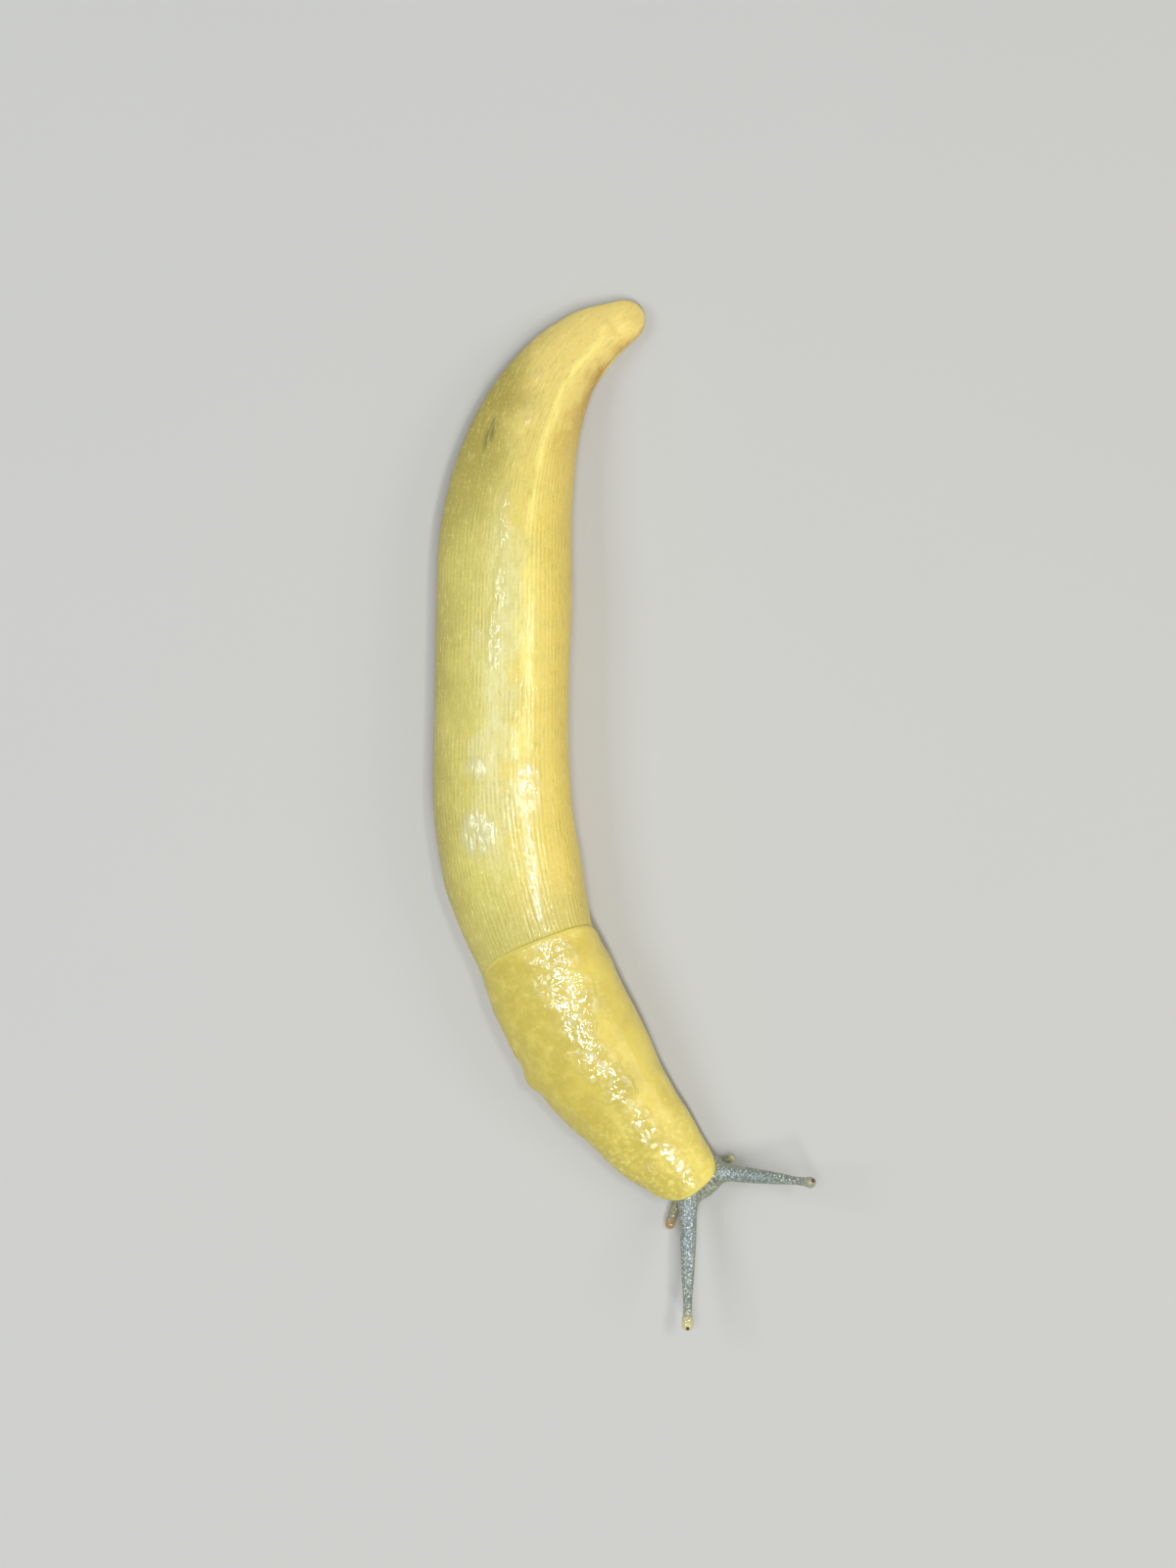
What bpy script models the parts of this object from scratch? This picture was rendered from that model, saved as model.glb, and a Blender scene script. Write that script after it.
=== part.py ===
# Banana slug, life size, crawling with its body in one long bend.
# Metres, +Z up. The tail points to +Y and the head to -Y, and the sole lies at z = 0.
# A bent spine runs along the ground from the tail tip to the head, and sections across it give the form.
import math

import bmesh
import bpy
from mathutils import Matrix, Vector

# The clearance between neighbouring nodes
GAP = 0.0003
# Edges that bend more than this, in degrees, are shaded sharp
SHARP_ANGLE = 50

# The spine: where it starts, and its heading in degrees at each distance from the tail tip.
# Heading 0 points to -Y, and a positive one turns towards +X.
TAIL_TIP = (0.0034, 0.0975)
SPINE_STEP = 0.0005
SPINE_LENGTH = 0.200
# How far the tail's end is carried to the slug's left, less than 0 for the right
TAIL_SHIFTS = ((0.000, -0.00060), (0.003, -0.00052), (0.006, -0.00048), (0.0095, -0.00036), (0.014, 0.0))
HEADINGS = (
    (0.000, -67),
    (0.010, -58.5),
    (0.022, -33),
    (0.045, -10.0),
    (0.065, -0.9),
    (0.090, -1),
    (0.110, 6.5),
    (0.130, 19.2),
    (0.150, 27.5),
    (0.165, 35.5),
    (0.180, 42),
    (0.190, 47),
)

# Where thin cuts part the body, as distances from the tail tip
TAIL_CUT = 0.040
MIDDLE_CUT = 0.088
SHOULDER_CUT = 0.139
NECK_CUT = 0.178
HEAD_END = 0.1942

# The outline above the foot: half the width and the crest's height, at distances from the tail tip.
# Ahead of its rear edge the mantle stands a little proud of this outline, and the body lies under it.
HALF_WIDTHS = (
    (0.000, 0.0034),
    (0.003, 0.0040),
    (0.006, 0.0048),
    (0.0095, 0.0058),
    (0.014, 0.0068),
    (0.019, 0.0078),
    (0.028, 0.0095),
    (0.036, 0.0108),
    (0.044, 0.0119),
    (0.054, 0.0128),
    (0.064, 0.0131),
    (0.088, 0.0130),
    (0.106, 0.0134),
    (0.118, 0.0134),
    (0.127, 0.0126),
    (0.137, 0.0116),
    (0.144, 0.0121),
    (0.152, 0.0119),
    (0.160, 0.0115),
    (0.171, 0.0097),
    (0.180, 0.0083),
    (0.187, 0.0067),
    (0.192, 0.0060),
)
CREST_HEIGHTS = (
    (0.000, 0.0040),
    (0.005, 0.0060),
    (0.010, 0.0080),
    (0.020, 0.0111),
    (0.032, 0.0140),
    (0.045, 0.0163),
    (0.060, 0.0177),
    (0.085, 0.0184),
    (0.110, 0.0185),
    (0.130, 0.0179),
    (0.145, 0.0176),
    (0.156, 0.0169),
    (0.166, 0.0151),
    (0.176, 0.0127),
    (0.185, 0.0109),
    (0.192, 0.0102),
)
# 2 is a round top, and less gives the raised keel that runs down the tail
TOP_ROUNDNESS = (
    (0.000, 1.75),
    (0.012, 1.50),
    (0.035, 1.55),
    (0.070, 1.80),
    (0.110, 2.05),
    (0.190, 2.15),
)
# How far the crest leans to the slug's left, as a share of the half-width
CREST_LEANS = (
    (0.000, 0.05),
    (0.012, 0.25),
    (0.040, 0.36),
    (0.080, 0.32),
    (0.120, 0.26),
    (0.145, 0.18),
    (0.190, 0.05),
)
WIDEST_LEVEL = 0.34
LEAN_POWER = 1.5
FLANK_TUCK = 35.0
TAIL_END = -0.0006
TAIL_END_RADIUS = 0.0036
TAIL_RINGS = 17
# How strongly rings crowd towards an end, and how short of the end the last ring is
RING_CROWDING = 1.6
END_SLICE = 0.0001
SECTION_POINTS = 27
BODY_RING_SPACING = 0.0031

# The head: low under the mantle's front, with a blunt end, carried a little to the left of the spine
HEAD_HALF_WIDTHS = ((0.178, 0.0068), (0.183, 0.0054), (0.190, 0.0051))
HEAD_CRESTS = ((0.178, 0.0110), (0.184, 0.0090), (0.190, 0.0078))
HEAD_SHIFTS = ((0.178, 0.0), (0.184, 0.0002), (0.194, 0.0015))
HEAD_END_RADIUS = 0.0052
HEAD_END_RISE = 0.0014
HEAD_RINGS = 15

# The foot: a flat sole with a fringe that has a rounded edge
FOOT_THICKNESS = 0.0019
FOOT_FRONT_END = 0.1918
FOOT_FRONT_RADIUS = 0.0042
FOOT_RING_SPACING = 0.0034
FOOT_END_RINGS = 15
FOOT_HALF_WIDTHS = (
    (0.000, 0.0034),
    (0.003, 0.0040),
    (0.006, 0.0048),
    (0.010, 0.0060),
    (0.020, 0.0077),
    (0.032, 0.0093),
    (0.045, 0.0105),
    (0.060, 0.0113),
    (0.106, 0.0117),
    (0.130, 0.0108),
    (0.150, 0.0104),
    (0.165, 0.0090),
    (0.178, 0.0070),
    (0.190, 0.0057),
)
# The fringe's outline: how far in from the edge, and how high, as a share of the thickness
FRINGE_OUTLINE = ((0.0009, 0.0), (0.00015, 0.22), (0.0, 0.48), (0.0003, 0.78), (0.0011, 1.0))

# The mantle: a saddle-shaped lobe with a rounded free edge, over the front third of the back
MANTLE_REAR = 0.1330
MANTLE_FRONT = 0.1916
MANTLE_THICKNESS = 0.0012
MANTLE_STANDS_PROUD = 0.0004
MANTLE_EDGE = 0.0013
MANTLE_REAR_CURVE = 0.0100
MANTLE_FRONT_CURVE = 0.0165
MANTLE_EDGE_POWER = 2.5
MANTLE_SKEW = 0.0014
MANTLE_HANG = 15.0
MANTLE_ROWS = 36
MANTLE_COLUMNS = 22
# The body keeps a shallow recess for the mantle, which starts a little outside its edge
RECESS_START = 0.0020
RECESS_FULL = 0.0005
RECESS_RING_SPACING = 0.0009
RECESS_CORNER = 0.96
RECESS_SIDE_FULL = 1.08
RECESS_SIDE_START = 1.18
# Where the flank below the mantle starts to draw in to the neck
NECK_START = 0.158
# The breathing pore: a pit in the mantle's right flank, in a swollen rim, with a lobe before it
PORE_PLACE = 0.1505
PORE_ANGLE = 6.0
PORE_RADII = (0.0017, 0.0011, 0.0011)
PORE_RIM_HEIGHT = 0.0003
PORE_RIM_REACH = (0.0032, 0.0032)
LOBE_PLACE = 0.1568
LOBE_ANGLE = 0.0
LOBE_HEIGHT = 0.0009
LOBE_REACH = (0.0036, 0.0026)

# Tentacles: where each leaves the head's middle (along the spine, to the left, and up), how far out it
# starts, its heading and rise in degrees, its length, its thickness beside the usual one, and how far its
# eye is raised from the middle line and turned round it
TENTACLES = {
    "right": {
        "root": (0.1881, 0.0005, 0.0050),
        "reach": 0.0054,
        "heading": -0.6,
        "rise": 16.0,
        "length": 0.0255,
        "stout": 1.0,
        "eye": (38, 0),
    },
    "left": {
        "root": (0.1894, 0.0027, 0.0040),
        "reach": 0.0052,
        "heading": 85.6,
        "rise": 31.0,
        "length": 0.0202,
        "stout": 0.95,
        "eye": (44, 50),
    },
}
TENTACLE_RADII = (
    (0.00, 0.00200),
    (0.10, 0.00172),
    (0.30, 0.00157),
    (0.60, 0.00122),
    (0.80, 0.00090),
    (0.86, 0.00094),
    (0.93, 0.00118),
    (0.955, 0.00122),
)
TENTACLE_SAG = 0.0011
TENTACLE_RINGS = 20
TENTACLE_SIDES = 12
# The eye sits in a cup on the upper side of the bulb at each tentacle's end
EYE_RADIUS = 0.00032
EYE_DEPTH = 0.00018
CUP_GAP = 0.00014

# Feelers: the lower pair, short and close to the ground
FEELERS = {
    "right": {
        "root": (0.1888, -0.0012, 0.0034),
        "reach": 0.0042,
        "heading": -19.0,
        "rise": -6.0,
        "length": 0.0056,
        "stout": 1.1,
    },
    "left": {
        "root": (0.1896, 0.0032, 0.0032),
        "reach": 0.0040,
        "heading": 108.0,
        "rise": -4.0,
        "length": 0.0024,
        "stout": 0.95,
    },
}
FEELER_RADII = (
    (0.00, 0.00105),
    (0.30, 0.00092),
    (0.70, 0.00085),
    (0.88, 0.00080),
    (0.97, 0.00052),
    (1.00, 0.00020),
)
FEELER_RINGS = 9
FEELER_SIDES = 10

# Roots of tentacles and feelers: stubs that grow out of the head and end a gap short of them
ROOT_FLARE = 1.12

# The mouth: a line across the front of the head between two lips, with a lobe at each side
MOUTH_PLACE = 0.1932
MOUTH_HEIGHT = 0.0036
MOUTH_HALF_WIDTH = 0.0021
MOUTH_SLIT = 0.00022
MOUTH_DEPTH = 0.0016
LIP_RADII = (0.0013, 0.0022, 0.0008)
LIP_SPREAD = 0.0007
LIP_SETBACK = 0.0010
MOUTH_LOBE_RADII = (0.0012, 0.0009, 0.0008)
MOUTH_LOBE_SPREAD = 0.0026

BACK_YELLOW = (216, 190, 78)
MANTLE_YELLOW = (222, 200, 82)
FOOT_YELLOW = (208, 186, 104)
HEAD_GREY = (150, 150, 104)
TENTACLE_GREY = (122, 134, 122)
FEELER_TAN = (170, 158, 98)
EYE_BROWN = (52, 36, 20)


def slope(stations, k):
    """The slope of a smooth line at station k, zero where the values turn."""
    here = stations[k]
    sides = []
    for other in (k - 1, k + 1):
        if 0 <= other < len(stations):
            there = stations[other]
            sides.append((there[1] - here[1]) / (there[0] - here[0]))
    if len(sides) == 1:
        return sides[0]
    if sides[0] * sides[1] <= 0:
        return 0.0
    return 2 * sides[0] * sides[1] / (sides[0] + sides[1])


def along(stations, place):
    """The value at a place on a smooth line through the stations."""
    if place <= stations[0][0]:
        return stations[0][1]
    if place >= stations[-1][0]:
        return stations[-1][1]
    k = max(i for i in range(len(stations) - 1) if stations[i][0] <= place)
    start, end = stations[k], stations[k + 1]
    span = end[0] - start[0]
    t = (place - start[0]) / span
    rise = end[1] - start[1]
    bend_in = slope(stations, k) * span - rise
    bend_out = rise - slope(stations, k + 1) * span
    return start[1] + t * rise + t * (1 - t) * (bend_in * (1 - t) + bend_out * t)


def follow_spine():
    """Points along the ground, one for each step from the tail tip."""
    x, y = TAIL_TIP
    points = [(x, y)]
    for k in range(round(SPINE_LENGTH / SPINE_STEP)):
        heading = math.radians(along(HEADINGS, (k + 0.5) * SPINE_STEP))
        x += SPINE_STEP * math.sin(heading)
        y -= SPINE_STEP * math.cos(heading)
        points.append((x, y))
    return points


SPINE = follow_spine()


def place_on_body(place, across, height):
    """The point at a distance along the spine, a distance to the slug's left, and a height."""
    across += along(TAIL_SHIFTS, place)
    k = min(max(int(place / SPINE_STEP), 0), len(SPINE) - 2)
    t = place / SPINE_STEP - k
    x = SPINE[k][0] + t * (SPINE[k + 1][0] - SPINE[k][0])
    y = SPINE[k][1] + t * (SPINE[k + 1][1] - SPINE[k][1])
    heading = math.radians(along(HEADINGS, place))
    return Vector((x + across * math.cos(heading), y + across * math.sin(heading), height))


def rounding(distance, radius):
    """A quarter circle: 0 at an end, and 1 a radius in from it."""
    reach = 1 - min(max(distance / radius, 0), 1)
    return math.sqrt(1 - reach * reach)


def power(value, exponent):
    """A signed power, for rounded squares and keels."""
    return math.copysign(abs(value) ** exponent, value)


def section_point(place, angle, half_width, crest, base):
    """A point on the section. Angle 0 is the right side, 90 the crest and 180 the left side."""
    turn = math.radians(angle)
    belly = base + WIDEST_LEVEL * (crest - base)
    if math.sin(turn) < 0:
        across = -half_width * math.cos(turn)
        height = belly + (belly - base) * math.sin(turn) / math.sin(math.radians(FLANK_TUCK))
        return across, height
    exponent = 2 / along(TOP_ROUNDNESS, place)
    across = -half_width * power(math.cos(turn), exponent)
    rise = math.sin(turn) ** exponent
    across += half_width * along(CREST_LEANS, place) * rise**LEAN_POWER
    return across, belly + (crest - belly) * rise


def edge_draw(share, curve):
    """How far the mantle's free edge draws in, at a share of the way to the side."""
    return curve * (1 - (1 - abs(share) ** MANTLE_EDGE_POWER) ** (1 / MANTLE_EDGE_POWER))


def mantle_rear(share):
    return MANTLE_REAR + edge_draw(share, MANTLE_REAR_CURVE)


def mantle_front(share):
    return MANTLE_FRONT - edge_draw(share, MANTLE_FRONT_CURVE) + MANTLE_SKEW * share


def ramp(value, start, end):
    """A smooth step from 0 at the start to 1 at the end."""
    t = min(max((value - start) / (end - start), 0), 1)
    return t * t * (3 - 2 * t)


def recess(place, angle):
    """How deep the body lies under its outline, to make room for the mantle."""
    share = abs(angle - 90) / (90 + MANTLE_HANG)
    inside = place - mantle_rear(min(share, RECESS_CORNER))
    under_edge = ramp(share, RECESS_SIDE_START, RECESS_SIDE_FULL)
    by_neck = ramp(place, NECK_START, NECK_CUT)
    covered = ramp(inside, -RECESS_START, -RECESS_FULL) * max(under_edge, by_neck)
    return (MANTLE_THICKNESS - MANTLE_STANDS_PROUD + GAP) * covered


def section_angle(k):
    return -FLANK_TUCK + (180 + 2 * FLANK_TUCK) * k / (SECTION_POINTS - 1)


def body_ring(place):
    """The ring round the body above the foot, from the base of the right flank to the left one."""
    end = rounding(place - TAIL_END, TAIL_END_RADIUS)
    base = FOOT_THICKNESS + GAP / 2
    ring = []
    for k in range(SECTION_POINTS):
        angle = section_angle(k)
        depth = recess(place, angle)
        half_width = along(HALF_WIDTHS, place) * end - depth
        crest = base + (along(CREST_HEIGHTS, place) - base) * end - depth
        across, height = section_point(place, angle, half_width, crest, base)
        ring.append(place_on_body(place, across, height))
    return ring


def head_ring(place):
    """The ring of points round the head, whose underside lifts towards the mouth."""
    end = rounding(HEAD_END - place, HEAD_END_RADIUS)
    base = FOOT_THICKNESS + GAP / 2 + HEAD_END_RISE * (1 - end)
    half_width = along(HEAD_HALF_WIDTHS, place) * end
    crest = base + (along(HEAD_CRESTS, place) - base) * end
    shift = along(HEAD_SHIFTS, place)
    ring = []
    for k in range(SECTION_POINTS):
        across, height = section_point(place, section_angle(k), half_width, crest, base)
        ring.append(place_on_body(place, across + shift, height))
    return ring


def foot_ring(place):
    """The ring round the foot: the sole, the fringe on each side, and the flat top."""
    tail_round = rounding(place - TAIL_END, TAIL_END_RADIUS)
    front_round = rounding(FOOT_FRONT_END - place, FOOT_FRONT_RADIUS)
    half_width = along(FOOT_HALF_WIDTHS, place) * tail_round * front_round
    thickness = FOOT_THICKNESS - GAP / 2
    shift = along(HEAD_SHIFTS, place)
    left = []
    for inset, level in FRINGE_OUTLINE:
        across = half_width * (1 - inset / along(FOOT_HALF_WIDTHS, place))
        left.append((across, level * thickness))
    outline = left + [(-across, height) for across, height in reversed(left)]
    return [place_on_body(place, across + shift, height) for across, height in outline]


def clustered(start, end, steps):
    """Places from start to end, close together at both ends."""
    shares = [0.5 - 0.5 * math.cos(math.pi * k / steps) for k in range(steps + 1)]
    return [start + (end - start) * share for share in shares]


def even(start, end, spacing):
    steps = max(2, round((end - start) / spacing))
    return [start + (end - start) * k / steps for k in range(steps + 1)]


def opening(start, end, steps):
    """Places from start to end, close together at the start only."""
    return [start + (end - start) * (k / steps) ** RING_CROWDING for k in range(steps + 1)]


def closing(start, end, steps):
    """Places from start to end, close together at the end only."""
    return [start + (end - start) * math.sin(0.5 * math.pi * k / steps) for k in range(steps + 1)]


def linear(channel):
    """A screen colour's channel of 0 to 255 as a linear value."""
    value = channel / 255
    return value / 12.92 if value <= 0.04045 else ((value + 0.055) / 1.055) ** 2.4


def material(name, colour, roughness):
    made = bpy.data.materials.new(name)
    made.use_nodes = True
    shader = made.node_tree.nodes["Principled BSDF"]
    shader.inputs["Base Color"].default_value = (*(linear(channel) for channel in colour), 1)
    shader.inputs["Roughness"].default_value = roughness
    shader.inputs["Metallic"].default_value = 0.0
    return made


def finish(bm, name, skin=None):
    """Makes an object of a mesh, with its faces out and shaded smooth."""
    bmesh.ops.recalc_face_normals(bm, faces=bm.faces)
    bmesh.ops.triangulate(bm, faces=bm.faces)
    mesh = bpy.data.meshes.new(name)
    bm.to_mesh(mesh)
    bm.free()
    mesh.shade_smooth()
    mesh.set_sharp_from_angle(angle=math.radians(SHARP_ANGLE))
    made = bpy.data.objects.new(name, mesh)
    bpy.context.scene.collection.objects.link(made)
    if skin:
        mesh.materials.append(skin)
    return made


def loft(name, rings, skin=None):
    """A closed solid through a row of rings, with a flat cap at each end."""
    bm = bmesh.new()
    rows = [[bm.verts.new(point) for point in ring] for ring in rings]
    for near, far in zip(rows, rows[1:]):
        for k in range(len(near)):
            n = (k + 1) % len(near)
            bm.faces.new((near[k], near[n], far[n], far[k]))
    bm.faces.new(rows[0])
    bm.faces.new(rows[-1])
    return finish(bm, name, skin)


def ellipsoid(name, centre, heading, radii, sides=12):
    """A closed egg shape. Its first radius points along the heading, and its second across it."""
    bm = bmesh.new()
    bmesh.ops.create_uvsphere(bm, u_segments=sides, v_segments=sides // 2, radius=1.0)
    turn = Matrix.Rotation(math.radians(heading - 90), 4, "Z")
    placement = Matrix.Translation(centre) @ turn @ Matrix.Diagonal((*radii, 1))
    bmesh.ops.transform(bm, matrix=placement, verts=bm.verts)
    return finish(bm, name)


def keep_largest(mesh):
    """Drops every closed surface but the largest from a mesh."""
    bm = bmesh.new()
    bm.from_mesh(mesh)
    left = set(bm.verts)
    shells = []
    while left:
        shell, edge = set(), [left.pop()]
        while edge:
            vert = edge.pop()
            shell.add(vert)
            near = {link.other_vert(vert) for link in vert.link_edges} & left
            left -= near
            edge.extend(near)
        shells.append(shell)
    largest = max(shells, key=len)
    bmesh.ops.delete(bm, geom=[vert for vert in bm.verts if vert not in largest], context="VERTS")
    bm.to_mesh(mesh)
    bm.free()


def combine(body, pieces, operation):
    """Joins a collection of closed pieces to a body, or cuts them out of it."""
    group = bpy.data.collections.new("pieces")
    for piece in pieces:
        group.objects.link(piece)
    boolean = body.modifiers.new("boolean", "BOOLEAN")
    boolean.operation = operation
    boolean.operand_type = "COLLECTION"
    boolean.collection = group
    boolean.solver = "EXACT"
    bpy.context.view_layer.update()
    graph = bpy.context.evaluated_depsgraph_get()
    mesh = bpy.data.meshes.new_from_object(body.evaluated_get(graph))
    body.modifiers.clear()
    body.data = mesh
    mesh.name = body.name
    keep_largest(mesh)
    for piece in pieces:
        bpy.data.objects.remove(piece)
    bpy.data.collections.remove(group)


def make_body(skin):
    """The tail, the back in two lengths and the shoulders, which lie under the mantle."""
    half_gap = GAP / 2
    recess_start = MANTLE_REAR - RECESS_START
    recess_end = SHOULDER_CUT + MANTLE_REAR_CURVE
    lengths = {
        "tail": opening(TAIL_END + END_SLICE, TAIL_CUT - half_gap, TAIL_RINGS),
        "back_rear": even(TAIL_CUT + half_gap, MIDDLE_CUT - half_gap, BODY_RING_SPACING),
        "back_front": even(MIDDLE_CUT + half_gap, recess_start, BODY_RING_SPACING)[:-1]
        + even(recess_start, SHOULDER_CUT - half_gap, RECESS_RING_SPACING),
        "shoulders": even(SHOULDER_CUT + half_gap, recess_end, RECESS_RING_SPACING)[:-1]
        + even(recess_end, NECK_CUT - half_gap, BODY_RING_SPACING),
    }
    for name, places in lengths.items():
        loft(name, [body_ring(place) for place in places], skin)


def make_foot(skin):
    """The foot in four lengths, cut under the cuts of the back."""
    half_gap = GAP / 2
    lengths = {
        "foot_tail": opening(TAIL_END + END_SLICE, TAIL_CUT - half_gap, FOOT_END_RINGS),
        "foot_rear": even(TAIL_CUT + half_gap, MIDDLE_CUT - half_gap, FOOT_RING_SPACING),
        "foot_middle": even(MIDDLE_CUT + half_gap, SHOULDER_CUT - half_gap, FOOT_RING_SPACING),
        "foot_front": closing(SHOULDER_CUT + half_gap, FOOT_FRONT_END - END_SLICE, FOOT_END_RINGS),
    }
    for name, places in lengths.items():
        loft(name, [foot_ring(place) for place in places], skin)


def swelling(place, angle, centre, centre_angle, reach, height):
    """A smooth bump on the mantle, with a reach behind its centre and another ahead of it."""
    girth = math.radians(angle - centre_angle) * along(HALF_WIDTHS, centre) / max(reach)
    distance = math.hypot((place - centre) / reach[place > centre], girth)
    return height * math.exp(-2 * distance * distance)


def mantle_point(place, angle, drop):
    """A point a depth under the mantle's outer surface."""
    bump = swelling(place, angle, PORE_PLACE, PORE_ANGLE, PORE_RIM_REACH, PORE_RIM_HEIGHT)
    bump += swelling(place, angle, LOBE_PLACE, LOBE_ANGLE, LOBE_REACH, LOBE_HEIGHT)
    outward = MANTLE_STANDS_PROUD - drop + bump * (1 - drop / MANTLE_THICKNESS)
    half_width = along(HALF_WIDTHS, place) + outward
    crest = along(CREST_HEIGHTS, place) + outward
    across, height = section_point(place, angle, half_width, crest, FOOT_THICKNESS + GAP / 2)
    return place_on_body(place, across, height)


def make_mantle(skin):
    """The mantle: an outer and an inner surface that meet in a rounded edge."""
    half_girth = along(HALF_WIDTHS, PORE_PLACE) + along(CREST_HEIGHTS, PORE_PLACE) / 2
    bm = bmesh.new()
    outer, inner = [], []
    for share in clustered(-1, 1, MANTLE_COLUMNS):
        angle = 90 + share * (90 + MANTLE_HANG)
        rear, front = mantle_rear(share), mantle_front(share)
        side_round = rounding((1 - abs(share)) * half_girth, MANTLE_EDGE)
        top_row, under_row = [], []
        for place in clustered(rear, front, MANTLE_ROWS):
            thick = side_round * rounding(min(place - rear, front - place), MANTLE_EDGE)
            drop = MANTLE_THICKNESS * (1 - thick) / 2
            vert = bm.verts.new(mantle_point(place, angle, drop))
            top_row.append(vert)
            if thick > 0:
                vert = bm.verts.new(mantle_point(place, angle, MANTLE_THICKNESS - drop))
            under_row.append(vert)
        outer.append(top_row)
        inner.append(under_row)
    for grid in (outer, inner):
        for near, far in zip(grid, grid[1:]):
            for k in range(MANTLE_ROWS):
                bm.faces.new((near[k], near[k + 1], far[k + 1], far[k]))
    mantle = finish(bm, "mantle", skin)
    pore_centre = mantle_point(PORE_PLACE, PORE_ANGLE, 0)
    pore = ellipsoid("pore", pore_centre, along(HEADINGS, PORE_PLACE), PORE_RADII)
    combine(mantle, [pore], "DIFFERENCE")


def direction(heading, rise):
    turn, lift = math.radians(heading), math.radians(rise)
    return Vector((math.sin(turn) * math.cos(lift), -math.cos(turn) * math.cos(lift), math.sin(lift)))


def tube_ring(centre, axis, radius, sides):
    """A ring of points square to an axis."""
    side = axis.cross(Vector((0, 0, 1))).normalized()
    up = side.cross(axis).normalized()
    turns = [2 * math.pi * k / sides for k in range(sides)]
    return [centre + radius * (side * math.cos(turn) + up * math.sin(turn)) for turn in turns]


def limb_centre(limb, share, sag):
    """A point on the middle line of a tentacle, which sags and lifts again to its tip."""
    axis = direction(limb["heading"], limb["rise"])
    droop = Vector((0, 0, -sag * math.sin(math.pi * share) * share))
    return place_on_body(*limb["root"]) + axis * (limb["reach"] + limb["length"] * share) + droop


def eye_centre(limb):
    """The middle of an eye, a little under the surface of the bulb."""
    lift, roll = (math.radians(angle) for angle in limb["eye"])
    axis = direction(limb["heading"], limb["rise"])
    side = Vector((0, 0, 1)).cross(axis).normalized()
    aside = axis.cross(side) * math.cos(roll) + side * math.sin(roll)
    out = axis * math.cos(lift) + aside * math.sin(lift)
    bulb_share, bulb_radius = TENTACLE_RADII[-1]
    return limb_centre(limb, bulb_share, TENTACLE_SAG) + out * (bulb_radius * limb["stout"] - EYE_DEPTH)


def make_tentacle(side, skin, eye_skin):
    """An upper tentacle with a bulb at its end, and the eye in a cup of the bulb."""
    limb = TENTACLES[side]
    axis = direction(limb["heading"], limb["rise"])
    bulb_radius = TENTACLE_RADII[-1][1] * limb["stout"]
    rings = []
    for share in closing(0, 1 - END_SLICE / limb["length"], TENTACLE_RINGS):
        end = rounding((1 - share) * limb["length"], bulb_radius)
        radius = along(TENTACLE_RADII, share) * limb["stout"] * end
        rings.append(tube_ring(limb_centre(limb, share, TENTACLE_SAG), axis, radius, TENTACLE_SIDES))
    tentacle = loft(f"tentacle_{side}", rings, skin)
    centre = eye_centre(limb)
    cup_radius = EYE_RADIUS + CUP_GAP
    cup = ellipsoid("cup", centre, limb["heading"], (cup_radius, cup_radius, cup_radius))
    combine(tentacle, [cup], "DIFFERENCE")
    eye = ellipsoid(f"eye_{side}", centre, limb["heading"], (EYE_RADIUS, EYE_RADIUS, EYE_RADIUS))
    eye.data.materials.append(eye_skin)


def make_feeler(side, skin):
    limb = FEELERS[side]
    axis = direction(limb["heading"], limb["rise"])
    rings = []
    for share in closing(0, 1, FEELER_RINGS):
        radius = along(FEELER_RADII, share) * limb["stout"]
        rings.append(tube_ring(limb_centre(limb, share, 0), axis, radius, FEELER_SIDES))
    loft(f"feeler_{side}", rings, skin)


def make_root(limb, radius, sides):
    """A stub from inside the head to a gap short of a tentacle or feeler."""
    axis = direction(limb["heading"], limb["rise"])
    wide = tube_ring(place_on_body(*limb["root"]), axis, radius * ROOT_FLARE, sides)
    narrow = tube_ring(limb_centre(limb, 0, 0) - axis * GAP, axis, radius, sides)
    return loft("root", [wide, narrow])


def make_head(skin):
    """The head under the mantle's front, with the roots of its tentacles, its lips and its mouth."""
    places = closing(NECK_CUT + GAP / 2, HEAD_END - END_SLICE, HEAD_RINGS)
    head = loft("head", [head_ring(place) for place in places], skin)
    roots = []
    for limb in TENTACLES.values():
        radius = TENTACLE_RADII[0][1] * limb["stout"]
        roots.append(make_root(limb, radius, TENTACLE_SIDES))
    for limb in FEELERS.values():
        radius = FEELER_RADII[0][1] * limb["stout"]
        roots.append(make_root(limb, radius, FEELER_SIDES))
    heading = along(HEADINGS, MOUTH_PLACE)
    middle = along(HEAD_SHIFTS, MOUTH_PLACE)
    lips = []
    for lift in (-LIP_SPREAD, LIP_SPREAD):
        centre = place_on_body(MOUTH_PLACE - LIP_SETBACK, middle, MOUTH_HEIGHT + lift)
        lips.append(ellipsoid("lip", centre, heading, LIP_RADII))
    for across in (-MOUTH_LOBE_SPREAD, MOUTH_LOBE_SPREAD):
        place = MOUTH_PLACE - 2 * LIP_SETBACK
        centre = place_on_body(place, middle + across, MOUTH_HEIGHT - LIP_SPREAD)
        lips.append(ellipsoid("lobe", centre, heading, MOUTH_LOBE_RADII))
    combine(head, roots + lips, "UNION")
    slit_radii = (MOUTH_DEPTH, MOUTH_HALF_WIDTH, MOUTH_SLIT)
    slit = ellipsoid("slit", place_on_body(MOUTH_PLACE, middle, MOUTH_HEIGHT), heading, slit_radii)
    combine(head, [slit], "DIFFERENCE")


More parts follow.
